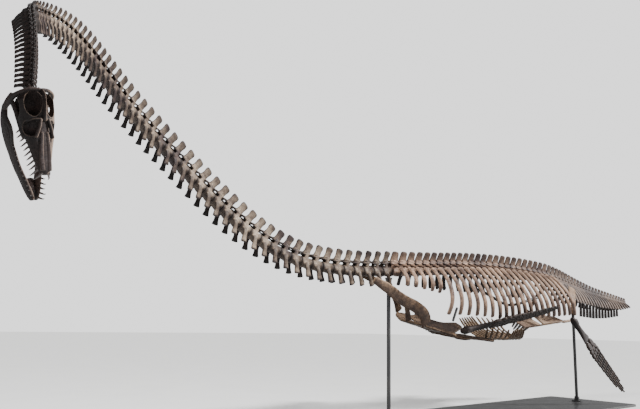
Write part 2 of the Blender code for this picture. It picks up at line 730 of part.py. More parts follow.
def belly_ribs():
    """The basket of belly ribs: a chain of middle pieces with a slim rod to each side."""
    bm = bmesh.new()

    def ring(x):
        return [Vector((x, y, BELLY_HEIGHT + z))
                for y, z in ((0.022, 0.010), (0.022, -0.010), (-0.022, -0.010), (-0.022, 0.010))]

    cap = face_of(bm, ring(BELLY_FIRST_X - 0.05))
    for row in range(BELLY_ROWS):
        x = BELLY_FIRST_X + row * BELLY_STEP
        cap = grow(bm, cap, ring(x - 0.02))
        front = list(cap.verts)
        cap = grow(bm, cap, ring(x + 0.02))
        rear = list(cap.verts)
        spread = 1.0 - 0.35 * abs(2 * row / (BELLY_ROWS - 1) - 1)
        for corner, side in ((0, 1), (2, -1)):
            face = shared_face([front[corner], front[corner + 1], rear[corner], rear[corner + 1]])
            path = [(Vector((x - 0.11, side * 0.20 * spread, BELLY_HEIGHT + 0.045)), 0.013, 0.011),
                    (Vector((x - 0.25, side * 0.33 * spread, BELLY_HEIGHT + 0.200)), 0.010, 0.009)]
            bar(bm, face, path, Vector((1, 0, 0)))
    grow(bm, cap, ring(BELLY_FIRST_X + (BELLY_ROWS - 1) * BELLY_STEP + 0.10))
    return finish("belly_ribs", lean(bm, BELLY_BANK), "bone_tan")


# ------------------------------------------------------------------ mount
def stand(column):
    floor = -COLUMN_HEIGHT
    bm = bmesh.new()
    bmesh.ops.create_cube(bm, size=1.0)
    middle_x = (FRONT_ROD_X + REAR_ROD_X) / 2
    bmesh.ops.scale(bm, vec=(PLATE_LENGTH, PLATE_WIDTH, PLATE_THICKNESS), verts=bm.verts)
    bmesh.ops.translate(bm, vec=(middle_x, 0, floor + PLATE_THICKNESS / 2), verts=bm.verts)
    finish("stand_base", bm, "steel_black")
    for name, x in (("stand_rod_front", FRONT_ROD_X), ("stand_rod_rear", REAR_ROD_X)):
        number = float(np.interp(x, column.places[:, 0], column.numbers))
        middle = column.frame(number)[0]
        under = middle.z - column.size(number)[2] - ROD_HEAD_GAP
        foot = floor + PLATE_THICKNESS + FACE_GAP
        rod(name, [(x, middle.y, foot), (x, middle.y, under)], ROD_RADIUS)


def rib_rail():
    """The bent steel rail inside the rib cage that carries the long ribs."""
    path = [(-0.77, -0.22, -0.21), (-0.465, -0.28, -0.324), (-0.09, -0.28, -0.418),
            (0.25, -0.28, -0.37), (0.63, -0.27, -0.29)]
    rod("armature_rib_rail", path, RAIL_RADIUS, sides=6)
    rod("armature_shoulder_rod", [(-0.994, -0.20, -0.480), (-1.005, -0.15, -0.620)], SHOULDER_ROD_RADIUS,
        sides=6)


def centre_on_floor():
    """Moves every piece so that the origin is the middle of the footprint at floor level."""
    bpy.context.view_layer.update()
    graph = bpy.context.evaluated_depsgraph_get()
    shown = [o for o in bpy.context.scene.objects if not o.hide_render]
    corners = [v.co.copy() for o in shown for v in o.evaluated_get(graph).to_mesh().vertices]
    low = Vector([min(c[k] for c in corners) for k in range(3)])
    high = Vector([max(c[k] for c in corners) for k in range(3)])
    shift = -Vector(((low.x + high.x) / 2, (low.y + high.y) / 2, low.z))
    for obj in bpy.context.scene.objects:
        obj.data.transform(Matrix.Translation(shift))


def main():
    remove_everything()
    column = Column()
    per_length = NECK_BONES // NECK_LENGTHS
    for k in range(NECK_LENGTHS):
        numbers = list(range(k * per_length + 1, (k + 1) * per_length + 1))
        neck_length(column, f"neck_{k + 1}", numbers)
    for side_name in ("left", "right"):
        rib_cage(column, side_name)
    first = NECK_BONES + TRUNK_BONES + 1
    tail_length(column, "sacrum", list(range(first, first + SACRUM_BONES)))
    first += SACRUM_BONES
    per_length = TAIL_BONES // TAIL_LENGTHS
    for k in range(TAIL_LENGTHS):
        numbers = list(range(first + k * per_length, first + (k + 1) * per_length))
        tail_length(column, f"tail_{k + 1}", numbers)
    skull(column)
    mandible(column)
    girdles()
    belly_ribs()
    limbs()
    rib_rail()
    stand(column)
    centre_on_floor()


main()
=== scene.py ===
import math

import bmesh
import bpy
import numpy as np
from mathutils import Matrix, Vector, noise


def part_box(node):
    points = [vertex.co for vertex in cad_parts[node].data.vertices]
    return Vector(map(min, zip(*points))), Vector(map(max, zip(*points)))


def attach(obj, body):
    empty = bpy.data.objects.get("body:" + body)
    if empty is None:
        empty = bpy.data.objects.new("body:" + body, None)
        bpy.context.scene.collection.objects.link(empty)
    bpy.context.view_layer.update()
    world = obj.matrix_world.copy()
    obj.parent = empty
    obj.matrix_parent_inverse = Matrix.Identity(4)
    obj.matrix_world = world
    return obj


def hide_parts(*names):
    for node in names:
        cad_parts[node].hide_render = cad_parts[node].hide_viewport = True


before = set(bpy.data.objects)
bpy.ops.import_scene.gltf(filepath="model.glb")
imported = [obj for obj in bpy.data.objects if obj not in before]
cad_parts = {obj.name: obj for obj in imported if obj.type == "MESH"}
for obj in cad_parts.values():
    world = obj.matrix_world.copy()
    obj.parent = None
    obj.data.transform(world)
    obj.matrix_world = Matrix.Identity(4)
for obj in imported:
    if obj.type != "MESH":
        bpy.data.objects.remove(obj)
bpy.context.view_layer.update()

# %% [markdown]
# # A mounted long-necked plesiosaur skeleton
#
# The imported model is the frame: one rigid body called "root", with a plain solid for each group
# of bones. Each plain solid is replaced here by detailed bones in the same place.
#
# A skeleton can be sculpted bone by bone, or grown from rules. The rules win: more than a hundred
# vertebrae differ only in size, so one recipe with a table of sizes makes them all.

# %% [markdown]
# ## Where the column runs
#
# The middle of the backbone is a smooth curve from the skull to the tail. A natural cubic spline
# through a few places gives it without kinks. Distances along it are measured in vertebrae, so a
# vertebra's number is its address: 1 is behind the skull, 70 ends the neck, 95 ends the trunk.

# %% The curve of the column
ROUTE = (
    (-6.39, -1.97, 0.34), (-6.38, -1.92, 0.53), (-6.37, -1.85, 0.67), (-6.35, -1.74, 0.78),
    (-6.28, -1.57, 0.87), (-6.11, -1.32, 0.97), (-5.82, -0.97, 1.04), (-5.22, -0.34, 0.97),
    (-4.23, 0.18, 0.55), (-3.08, 0.22, -0.04), (-1.84, 0.02, -0.10), (-0.37, 0.01, 0.00),
    (1.23, -0.02, -0.04), (2.51, 0.03, -0.18), (3.27, -0.14, -0.30),
)
COLUMN_HEIGHT = 1.72
ROD_MIDDLE_X = 0.06
base_low, base_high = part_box("stand_base")
SHIFT = Vector(((base_low[0] + base_high[0]) / 2 - ROD_MIDDLE_X, (base_low[1] + base_high[1]) / 2,
                COLUMN_HEIGHT))
print("column's own space sits at", SHIFT)


def spline_through(points):
    """A natural cubic spline through the points, as a function of the distance along its chords."""
    points = np.array(points, float)
    knots = np.concatenate([[0.0], np.cumsum(np.linalg.norm(np.diff(points, axis=0), axis=1))])
    count = len(points)
    gaps = np.diff(knots)
    slopes = np.diff(points, axis=0) / gaps[:, None]
    system = np.eye(count)
    right = np.zeros_like(points)
    for k in range(1, count - 1):
        system[k, k - 1:k + 2] = gaps[k - 1], 2 * (gaps[k - 1] + gaps[k]), gaps[k]
        right[k] = 6 * (slopes[k] - slopes[k - 1])
    bend = np.linalg.solve(system, right)

    def at(distance):
        k = int(np.clip(np.searchsorted(knots, distance) - 1, 0, count - 2))
        before, after, gap = distance - knots[k], knots[k + 1] - distance, gaps[k]
        return ((bend[k] * after ** 3 + bend[k + 1] * before ** 3) / (6 * gap)
                + (points[k] / gap - bend[k] * gap / 6) * after
                + (points[k + 1] / gap - bend[k + 1] * gap / 6) * before)

    return at, knots[-1]


# %% [markdown]
# ## How big each vertebra is
#
# The vertebrae grow from the skull to the shoulders and shrink down the tail. A short table at a
# few numbers, read in between, is easier to correct than a size for every bone. The trunk leans
# its left side down, as a swimmer banks, and the lean fades out along the neck and the tail.

# %% Sizes and lean by vertebra number
VERTEBRAE = {  # number: (pitch, half width, half height of the body, tip of the spine)
    1: (0.027, 0.027, 0.022, 0.046),
    12: (0.031, 0.032, 0.027, 0.047),
    20: (0.054, 0.038, 0.032, 0.068),
    26: (0.072, 0.042, 0.035, 0.094),
    31: (0.085, 0.046, 0.038, 0.126),
    44: (0.119, 0.058, 0.047, 0.172),
    54: (0.132, 0.070, 0.057, 0.205),
    70: (0.123, 0.082, 0.066, 0.213),
    77: (0.123, 0.080, 0.064, 0.207),
    95: (0.123, 0.076, 0.060, 0.220),
    99: (0.112, 0.072, 0.056, 0.200),
    103: (0.095, 0.062, 0.050, 0.172),
    110: (0.075, 0.044, 0.038, 0.125),
    121: (0.052, 0.032, 0.028, 0.085),
}
BANK = {62: 0.0, 75: 21.0, 84: 18.0, 92: 14.0, 98: 8.0, 101: 4.0, 108: 0.0}
NECK_BONES = 70
TRUNK_BONES = 25
SACRUM_BONES = 4
TAIL_BONES = 22
BONES = NECK_BONES + TRUNK_BONES + SACRUM_BONES + TAIL_BONES
TRUNK_NUMBERS = range(NECK_BONES + 1, NECK_BONES + TRUNK_BONES + 1)
LEVEL_BONE = 86  # here the up direction is upright before any lean


def table_value(table, number):
    keys = sorted(table)
    return float(np.interp(number, keys, [table[k] for k in keys]))


def size_of(number):
    """Pitch, half width, half height and spine tip of a vertebra."""
    keys = sorted(VERTEBRAE)
    return tuple(float(np.interp(number, keys, [VERTEBRAE[k][j] for k in keys])) for j in range(4))


# %% [markdown]
# ## A frame at every vertebra
#
# Each bone needs its own backward, left and up directions. Carrying the up direction along the
# curve, always square to it, keeps neighbours from twisting against each other.

# %% Frames along the column
CURVE_SAMPLES = 1200
NUMBER_STEP = 0.1  # frames are worked out ten to a vertebra and read in between
curve_at, chord_length = spline_through(ROUTE)
places = np.array([curve_at(d) for d in np.linspace(0, chord_length, CURVE_SAMPLES)])
walked = np.concatenate([[0.0], np.cumsum(np.linalg.norm(np.diff(places, axis=0), axis=1))])
numbers = np.arange(0.5, BONES + 0.75, NUMBER_STEP)
pitches = np.array([size_of(n)[0] for n in numbers])
steps = np.concatenate([[0.0], np.cumsum((pitches[1:] + pitches[:-1]) / 2 * NUMBER_STEP)])
steps *= walked[-1] / steps[-1]
places = np.stack([np.interp(steps, walked, places[:, k]) for k in range(3)], axis=1)
backs = np.gradient(places, axis=0)
backs /= np.linalg.norm(backs, axis=1)[:, None]


def carried_ups():
    level = int(np.argmin(abs(numbers - LEVEL_BONE)))
    ups = np.zeros_like(places)
    ups[level] = (0.0, 0.0, 1.0)
    order = [(level, level)]
    order += [(k, k - 1) for k in range(level + 1, len(ups))]
    order += [(k, k + 1) for k in range(level - 1, -1, -1)]
    for k, before in order:
        up = ups[before] - backs[k] * ups[before].dot(backs[k])
        ups[k] = up / np.linalg.norm(up)
    keys = sorted(BANK)
    angles = np.radians(np.interp(numbers, keys, [BANK[k] for k in keys]))[:, None]
    return ups * np.cos(angles) + np.cross(backs, ups) * np.sin(angles)


ups = carried_ups()


def column_frame(number):
    """Matrix from a vertebra's own space (x back, y left, z up) to the frame's space."""
    def read(values):
        return Vector([float(np.interp(number, numbers, values[:, k])) for k in range(3)])
    back = read(backs).normalized()
    up = read(ups)
    up = (up - back * up.dot(back)).normalized()
    turn = Matrix((back, back.cross(up), up)).transposed().to_4x4()
    return Matrix.Translation(read(places) + SHIFT) @ turn


print("column length", round(float(walked[-1]), 2), "m")

# %% [markdown]
# ## Shader maths as Python
#
# Node trees are easier to read as formulas. A small class wraps a socket, so adding or multiplying
# two of them adds the Math node for it.

# %% A wrapper for sockets
class Value:
    """One number in a material's node tree."""

    def __init__(self, paint, socket):
        self.paint = paint
        self.socket = socket

    def _math(self, operation, a, b):
        return self.paint.node("ShaderNodeMath", {"operation": operation}, {0: a, 1: b})

    def __add__(self, other):
        return self._math("ADD", self, other)

    __radd__ = __add__

    def __sub__(self, other):
        return self._math("SUBTRACT", self, other)

    def __rsub__(self, other):
        return self._math("SUBTRACT", other, self)

    def __mul__(self, other):
        return self._math("MULTIPLY", self, other)

    __rmul__ = __mul__


class Paint:
    """A material and the nodes that feed its shader."""

    def __init__(self, name):
        self.material = bpy.data.materials.new(name)
        self.material.use_nodes = True
        self.tree = self.material.node_tree
        self.shader = self.tree.nodes["Principled BSDF"]
        self.place = self.node("ShaderNodeTexCoord", output="Object")

    def node(self, kind, settings=None, inputs=None, output=0):
        made = self.tree.nodes.new(kind)
        for key, value in (settings or {}).items():
            setattr(made, key, value)
        for key, value in (inputs or {}).items():
            self.feed(made.inputs[key], value)
        return Value(self, made.outputs[output])

    def feed(self, socket, value):
        if isinstance(value, Value):
            self.tree.links.new(value.socket, socket)
        else:
            socket.default_value = value

    def noise(self, scale, detail=4.0, roughness=0.55):
        return self.node("ShaderNodeTexNoise", None, {"Vector": self.place, "Scale": scale,
                                                      "Detail": detail, "Roughness": roughness})

    def steps(self, value, low, high, to_low=0.0, to_high=1.0):
        return self.node("ShaderNodeMapRange", {"clamp": True}, {
            "Value": value, "From Min": low, "From Max": high, "To Min": to_low, "To Max": to_high})

    def mix(self, factor, a, b):
        a, b = (c if isinstance(c, Value) else (*c, 1.0) for c in (a, b))
        return self.node("ShaderNodeMix", {"data_type": "RGBA"}, {0: factor, 6: a, 7: b}, output=2)

    def finish(self, colour, roughness, height=None, distance=0.002, strength=0.6):
        self.feed(self.shader.inputs["Base Color"], colour)
        self.feed(self.shader.inputs["Roughness"], roughness)
        if height is not None:
            bump = self.node("ShaderNodeBump", None,
                             {"Strength": strength, "Distance": distance, "Height": height},
                             output="Normal")
            self.feed(self.shader.inputs["Normal"], bump)
        return self.material


# %% [markdown]
# ## Fossil bone
#
# Fossil bone is stained unevenly by the ground it lay in: broad cloudy patches, finer mottling,
# fine dark cracks and speckles, and rubbed paler edges. Pictures could carry this,
# but a recipe of noises follows every bone without seams. The curvature of the surface tells
# hollows from edges; the hollows are darkened as painted shade. The undersides are darkened as
# painted shade, and the side of the dark bones that faces the key light is painted paler as painted
# light.

# %% Bone materials
def bone(name, pale, middle, dark, stain_and_shade, edge, crack_scale, underside_shade=0.8, lit_side_light=0.0):
    """Five colours: pale, middle and dark stains, one for cracks, speckles and painted shade, and one
    for rubbed edges and the painted lit side; the number of cracks to a metre; how strong the painted
    shade under the bone and the painted light on its lit side are.
    """
    paint = Paint(name)
    paint.shader.inputs["Specular IOR Level"].default_value = 0.22
    clouds = paint.noise(2.2, 3.0)
    mottle = paint.noise(16.0, 5.0, 0.62)
    grain = paint.noise(110.0, 4.0, 0.65)
    warped = paint.node("ShaderNodeVectorMath", {"operation": "MULTIPLY_ADD"},
                        {0: paint.noise(9.0), 1: (0.05, 0.05, 0.05), 2: paint.place})
    cracks = paint.node("ShaderNodeTexVoronoi", {"feature": "DISTANCE_TO_EDGE"},
                        {"Vector": warped, "Scale": crack_scale}, output="Distance")
    crack = paint.steps(cracks, 0.0, 0.035, 1.0, 0.0) * paint.steps(mottle, 0.45, 0.60)
    blotch = clouds * 0.55 + mottle * 0.45
    colour = paint.mix(paint.steps(blotch, 0.42, 0.50), dark, middle)
    colour = paint.mix(paint.steps(blotch, 0.50, 0.60), colour, pale)
    speckle = paint.steps(grain, 0.50, 0.66) * 0.45
    colour = paint.mix(speckle, colour, stain_and_shade)
    curve = paint.node("ShaderNodeNewGeometry", output="Pointiness")
    # Painted shade: concave hollows are darkened towards the darkest colour.
    colour = paint.mix(paint.steps(curve, 0.497, 0.470) * 0.85, colour, stain_and_shade)
    colour = paint.mix(paint.steps(curve, 0.515, 0.560) * 0.55, colour, edge)
    colour = paint.mix(crack * 0.8, colour, stain_and_shade)
    facing = paint.node("ShaderNodeNewGeometry", output="Normal")
    rise = paint.node("ShaderNodeSeparateXYZ", None, {"Vector": facing}, output="Z")
    toward_light = paint.node("ShaderNodeSeparateXYZ", None, {"Vector": facing}, output="X")
    # Painted shade: faces that point down are darkened towards the darkest colour.
    colour = paint.mix(paint.steps(rise, 0.05, -0.42) * underside_shade, colour, stain_and_shade)
    # Painted light: faces turned towards the key light are painted paler in the edge colour.
    colour = paint.mix(paint.steps(toward_light, 0.45, 0.80) * lit_side_light, colour, edge)
    roughness = paint.steps(grain, 0.3, 0.7, 0.50, 0.78)
    height = grain * 0.35 + mottle * 0.8 - crack * 0.9
    return paint.finish(colour, roughness, height, 0.004, 0.55)


NECK_BONE = bone("neck_bone", (0.300, 0.228, 0.165), (0.140, 0.100, 0.071), (0.042, 0.026, 0.022),
                 (0.008, 0.004, 0.004), (0.42, 0.33, 0.245), 20.0)
TRUNK_BONE = bone("trunk_bone", (0.410, 0.262, 0.178), (0.195, 0.118, 0.080), (0.062, 0.034, 0.026),
                  (0.009, 0.004, 0.004), (0.66, 0.47, 0.35), 16.0)
GIRDLE_BONE = bone("girdle_bone", (0.290, 0.185, 0.112), (0.165, 0.100, 0.060), (0.060, 0.035, 0.023),
                   (0.012, 0.006, 0.005), (0.42, 0.29, 0.185), 14.0)
HIP_BONE = bone("hip_bone", (0.460, 0.330, 0.235), (0.290, 0.190, 0.130), (0.100, 0.058, 0.042),
                (0.014, 0.007, 0.006), (0.62, 0.47, 0.36), 14.0, 0.35)
# A near-black copy of the bone for parts that lie in shadow: painted shade, with a little painted
# light on its lit side.
PAINTED_SHADE_BONE = bone("painted_shade_bone", (0.030, 0.018, 0.015), (0.016, 0.009, 0.008), (0.007, 0.004, 0.004),
                 (0.002, 0.0015, 0.0015), (0.080, 0.055, 0.042), 22.0, 0.7, 0.15)
SHADED_BONE = bone("shaded_bone", (0.110, 0.066, 0.042), (0.056, 0.032, 0.021), (0.022, 0.012, 0.009),
                   (0.005, 0.003, 0.003), (0.210, 0.140, 0.092), 14.0)
TAIL_BONE = bone("tail_bone", (0.190, 0.130, 0.096), (0.092, 0.060, 0.046), (0.032, 0.019, 0.016),
                 (0.006, 0.003, 0.003), (0.290, 0.205, 0.155), 20.0)
# The head's side turned towards the key light is painted strongly paler: painted light.
HEAD_BONE = bone("head_bone", (0.040, 0.025, 0.020), (0.020, 0.011, 0.010), (0.008, 0.005, 0.005),
                 (0.002, 0.0015, 0.0015), (0.240, 0.175, 0.135), 46.0, 0.6, 0.9)
print("materials", [m.name for m in bpy.data.materials])

# %% Teeth and steel
def tooth_enamel():
    """Stained enamel with fine ridges from root to tip."""
    paint = Paint("tooth_enamel")
    streak = paint.noise(160.0, 3.0)
    colour = paint.mix(paint.steps(streak, 0.35, 0.65), (0.012, 0.008, 0.008), (0.050, 0.034, 0.028))
    return paint.finish(colour, paint.steps(streak, 0.3, 0.7, 0.28, 0.42), streak, 0.0006, 0.4)


def painted_steel():
    """Satin black paint over steel, with a little dust and faint brush marks."""
    paint = Paint("painted_steel")
    dust = paint.noise(5.0, 5.0, 0.6)
    fine = paint.noise(220.0, 2.0)
    colour = paint.mix(paint.steps(dust, 0.48, 0.72) * 0.5, (0.018, 0.018, 0.020),
                       (0.075, 0.072, 0.068))
    paint.shader.inputs["Coat Weight"].default_value = 0.15
    return paint.finish(colour, paint.steps(dust, 0.35, 0.7, 0.34, 0.56), fine, 0.0006, 0.25)


ENAMEL = tooth_enamel()
STEEL = painted_steel()

# %% [markdown]
# ## Making a bone
#
# Every bone starts as a ring that is extruded and moved from station to station. The rings are
# places in space written as matrices, so one helper makes spools, bars and blades. Bones made of
# several such forms are joined by a voxel remesh, which grows them into one skin, and smoothed.

# %% Helpers: stations, sweeps and joined bones
def station(place, ahead, wide, half_width, half_thickness):
    """A ring's matrix: its own x lies along wide, its own z along ahead."""
    ahead = ahead.normalized()
    wide = (wide - ahead * wide.dot(ahead)).normalized()
    thick = ahead.cross(wide)
    turn = Matrix((wide * half_width, thick * half_thickness, ahead)).transposed().to_4x4()
    return Matrix.Translation(place) @ turn


def sweep(bm, stations, sides=10):
    """A closed skin through the stations."""
    made = bmesh.ops.create_circle(bm, cap_ends=False, segments=sides, radius=1.0,
                                   matrix=stations[0])
    ring = list(dict.fromkeys(e for v in made["verts"] for e in v.link_edges))
    first = ring
    for before, after in zip(stations, stations[1:]):
        grown = bmesh.ops.extrude_edge_only(bm, edges=ring)["geom"]
        verts = [g for g in grown if isinstance(g, bmesh.types.BMVert)]
        ring = [g for g in grown if isinstance(g, bmesh.types.BMEdge) and g.is_boundary]
        bmesh.ops.transform(bm, matrix=after @ before.inverted(), verts=verts)
    bmesh.ops.edgeloop_fill(bm, edges=first)
    bmesh.ops.edgeloop_fill(bm, edges=ring)


def rounded(stations, start=0.7, end=0.7):
    """Adds two smaller rings at each end, so that a bar closes in a dome."""
    def dome(place, sign, reach):
        sizes = [place.col[k].to_3d().length for k in (0, 1)]
        depth = min(sizes) * reach
        ahead = place.col[2].to_3d().normalized() * sign
        rings = []
        for share, scale in ((0.55, 0.80), (0.95, 0.35)):
            shift = Matrix.Translation(ahead * depth * share)
            rings.append(shift @ place @ Matrix.Diagonal((scale, scale, 1.0, 1.0)))
        return rings
    return dome(stations[0], -1, start)[::-1] + stations + dome(stations[-1], 1, end)


def along_path(path, hint, fineness=4):
    """Stations on a smooth curve through (point, half width, half thickness)."""
    at, length = spline_through([(*point, width, thickness) for point, width, thickness in path])
    count = fineness * (len(path) - 1)
    values = [at(length * k / count) for k in range(count + 1)]
    middles = [Vector(v[:3]) for v in values]
    stations = []
    for k, value in enumerate(values):
        ahead = middles[min(k + 1, count)] - middles[max(k - 1, 0)]
        stations.append(station(middles[k], ahead, hint, max(value[3], 4e-4), max(value[4], 4e-4)))
    return stations


def bar(bm, path, hint, sides=10, fineness=4, start=0.7, end=0.7):
    """A closed bar with domed ends along a path; the hint is the way of its width."""
    sweep(bm, rounded(along_path(path, hint, fineness), start, end), sides)


def mirrored(rows, side):
    """A bar's path from rows of (out, y, z, half width, half thickness), on one side."""
    return [(Vector((side * x, y, z)), wide, thick) for x, y, z, wide, thick in rows]


def mesh_of(bm, name="form"):
    bmesh.ops.recalc_face_normals(bm, faces=bm.faces)
    mesh = bpy.data.meshes.new(name)
    bm.to_mesh(mesh)
    bm.free()
    return mesh


def linked(name, data):
    obj = bpy.data.objects.new(name, data)
    bpy.context.collection.objects.link(obj)
    return obj


def settled_mesh(obj):
    """The mesh that an object's modifiers make; the object itself goes."""
    bpy.context.view_layer.update()
    graph = bpy.context.evaluated_depsgraph_get()
    mesh = bpy.data.meshes.new_from_object(obj.evaluated_get(graph))
    old = obj.data
    bpy.data.objects.remove(obj)
    bpy.data.meshes.remove(old)
    return mesh


def joined(bm, voxel, smoothing=3, keep=0.72):
    """Joins overlapping closed forms into one skin, smooths and thins it; returns the mesh."""
    obj = linked("form", mesh_of(bm))
    remesh = obj.modifiers.new("join", "REMESH")
    remesh.mode = "VOXEL"
    remesh.voxel_size = voxel
    soft = obj.modifiers.new("soften", "SMOOTH")
    soft.factor = 0.5
    soft.iterations = smoothing
    thin = obj.modifiers.new("thin", "DECIMATE")
    thin.ratio = keep
    return settled_mesh(obj)


def add_mesh(bm, mesh, matrix=None, slot_index=None):
    """Copies a mesh into a bmesh, moved by the matrix; a slot index replaces its own slots."""
    verts_before = len(bm.verts)
    faces_before = len(bm.faces)
    bm.from_mesh(mesh)
    bm.verts.ensure_lookup_table()
    bm.faces.ensure_lookup_table()
    if matrix is not None:
        bmesh.ops.transform(bm, matrix=matrix, verts=bm.verts[verts_before:])
    if slot_index is not None:
        for face in bm.faces[faces_before:]:
            face.material_index = slot_index


def piece(name, bm, materials, nodes):
    """A finished piece: an object at the origin that stands for its nodes and rides on the root."""
    mesh = bpy.data.meshes.new(name)
    bm.to_mesh(mesh)
    bm.free()
    mesh.polygons.foreach_set("use_smooth", [True] * len(mesh.polygons))
    for material in materials:
        mesh.materials.append(material)
    obj = linked(name, mesh)
    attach(obj, "root")
    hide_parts(*nodes)
    print(name, sum(len(p.vertices) - 2 for p in mesh.polygons), "triangles")


def wobble(bm, verts, size, amount):
    """Moves corners in and out by a smooth noise, as no bone is perfectly even."""
    bm.normal_update()
    for v in verts:
        v.co += v.normal * amount * noise.noise(v.co / size)


# %% [markdown]
# ## The vertebrae
#
# A plesiosaur's vertebra is a short spool with flat ends. Over it stands the neural arch: two
# pillars round the spinal cord, a tall blade on top, and four facets that hook into its
# neighbours. The gaps between neighbouring arches show daylight. Neck vertebrae carry a pair of
# hatchet-shaped ribs that point down, trunk vertebrae carry level struts for the long ribs, and
# tail vertebrae carry a V-shaped bone below.

# %% Spool, arch and spine
X = Vector((1, 0, 0))
Y = Vector((0, 1, 0))
Z = Vector((0, 0, 1))
BODY_LENGTH = 0.485  # half of it, as a share of the pitch
BODY_PROFILE = ((-1.0, 0.90), (-0.94, 1.00), (-0.78, 0.98), (-0.35, 0.86), (0.0, 0.83),
                (0.35, 0.86), (0.78, 0.98), (0.94, 1.00), (1.0, 0.90))  # place along, size
# Rows of place along, out and up, then half length and half width: shares of the bone's sizes
PILLAR = ((-0.02, 0.46, 0.40, 1.35, 0.16), (0.0, 0.40, 0.95, 1.0, 0.13),
          (0.03, 0.26, 1.50, 1.15, 0.14))
FACETS = ((-0.60, 0.40, 1.34, 0.17, 0.09), (-0.20, 0.36, 1.24, 0.16, 0.12),
          (0.22, 0.32, 1.34, 0.15, 0.12), (0.60, 0.28, 1.56, 0.15, 0.09))


def centrum(bm, pitch, width, height):
    """The spool: its ends flare over a narrower waist."""
    sweep(bm, [station(Vector((pitch * BODY_LENGTH * x, 0, -0.08 * height)), X, Y, width * s,
                       0.93 * height * s) for x, s in BODY_PROFILE], 20)


def arch(bm, pitch, width, height, tip, spine, wall):
    """Pillars, facets and the blade of the spine, given as (half length, lean, flare)."""
    spine_length, lean, flare = spine
    for side in (-1, 1):
        for rows, unit, hint in ((PILLAR, wall, X), (FACETS, width, Y)):
            bar(bm, [(Vector((x * pitch, side * y * width, z * height)), a * unit, b * width)
                     for x, y, z, a, b in rows], hint, 8, 3)
    foot = 1.22 * height
    rise = tip - foot
    blade = [(Vector((0.02 * pitch, 0, foot)), 0.40 * pitch, 0.22 * width)]
    for back, up, size, thickness in ((0.25, 0.28, 1.04, 0.14), (0.60, 0.62, 0.5 + 0.5 * flare, 0.12),
                                      (0.86, 0.84, flare, 0.14), (0.97, 0.93, 0.84 * flare, 0.13)):
        blade.append((Vector((0.03 * pitch + back * lean, 0, foot + up * rise)), spine_length * size,
                      thickness * width))
    bar(bm, blade, X, 16, 3, end=0.7)


# %% [markdown]
# ## Ribs of the neck, struts of the trunk, chevrons of the tail
#
# The neck's ribs are short blades that widen to a square end, like small hatchets. They slope down
# and slightly back, and neighbours don't meet. The trunk's struts are level and stout. The tail has
# flat ribs that hang like a fringe, and chevrons that shelter the blood vessels below it.

# %% What grows from the spool
NECK_RIB_DROP = {1: 0.026, 20: 0.040, 31: 0.050, 54: 0.075, 70: 0.080}
NECK_RIB_OUT = {1: 0.048, 12: 0.054, 17: 0.055, 21: 0.070, 25: 0.066, 29: 0.060, 34: 0.062,
                54: 0.080, 70: 0.092}
NECK_RIB_ROOT = {1: 0.42, 16: 0.42, 30: 0.26, 70: 0.22}
NECK_RIB_END = {1: 0.43, 20: 0.38, 40: 0.30, 70: 0.27}
CHEVRONS = range(106, 119)
CHEVRON_REACH = {106: 0.36, 110: 0.34, 114: 0.29, 118: 0.22}
TAIL_RIB_OUT = {96: 0.08, 99: 0.08, 101: 0.11, 110: 0.10, 121: 0.05}
TAIL_RIB_DOWN = {96: 0.05, 99: 0.06, 101: 0.16, 110: 0.15, 117: 0.10, 121: 0.03}
TAIL_RIB_BACK = {96: 0.0, 99: 0.02, 101: 0.08, 121: 0.04}


def neck_rib(bm, number, side, pitch, width, height):
    drop, out, stout, club = (table_value(table, number) for table in
                              (NECK_RIB_DROP, NECK_RIB_OUT, NECK_RIB_ROOT, NECK_RIB_END))
    root = Vector((-0.04 * pitch, side * 0.80 * width, -0.24 * height))
    end = Vector((0.30 * pitch, side * out, -height - drop))
    elbow = root.lerp(end, 0.35) + Vector((0, side * 0.12 * width, 0))
    bar(bm, [(root, stout * pitch, 0.17 * width), (elbow, 0.86 * stout * pitch, 0.15 * width),
             (root.lerp(end, 0.78), 0.80 * club * pitch, 0.14 * width),
             (end, club * pitch, 0.14 * width)], X, 12, 3, start=0.5, end=0.6)


def strut(bm, side, pitch, width, height):
    """A trunk vertebra's side strut, out and slightly up to the head of its rib."""
    bar(bm, [(Vector((0, side * 0.30 * width, 1.05 * height)), 0.20 * pitch, 0.30 * height),
             (Vector((0.02 * pitch, side * 0.95 * width, 0.98 * height)), 0.14 * pitch, 0.22 * height),
             (Vector((0.03 * pitch, side * 0.150, 0.048)), 0.17 * pitch, 0.26 * height)],
        X, 10, 4)


def tail_rib(bm, number, side, pitch, width, height):
    out, down, back = (table_value(table, number)
                       for table in (TAIL_RIB_OUT, TAIL_RIB_DOWN, TAIL_RIB_BACK))
    root = Vector((0, side * 0.70 * width, -0.10 * height))
    end = Vector((back, side * (width + out), -height - down))
    elbow = root.lerp(end, 0.45) + Vector((0, side * 0.10 * out, 0.10 * down))
    bar(bm, [(root, 0.38 * pitch, 0.30 * width), (elbow, 0.36 * pitch, 0.014),
             (end, 0.36 * pitch, 0.011)], X, 10, 4)


def chevron(bm, number, pitch, width, height):
    """Two branches that meet below the blood vessels and run on as one blade."""
    reach = table_value(CHEVRON_REACH, number)
    thick = 0.17 * width
    fork = Vector((0.34 * pitch, 0, -height - 0.30 * (reach - height)))
    for side in (-1, 1):
        bar(bm, [(Vector((0.30 * pitch, side * 0.55 * width, -0.85 * height)), 0.24 * pitch,
                  0.16 * width),
                 (fork + Vector((0, side * 0.06 * width, 0)), 0.26 * pitch, 0.15 * width)], X, 8, 3)
    bar(bm, [(fork, 0.36 * pitch, thick),
             (Vector((0.44 * pitch, 0, -0.75 * reach)), 0.44 * pitch, thick),
             (Vector((0.54 * pitch, 0, -reach)), 0.46 * pitch, 0.16 * width)], X, 10, 3)


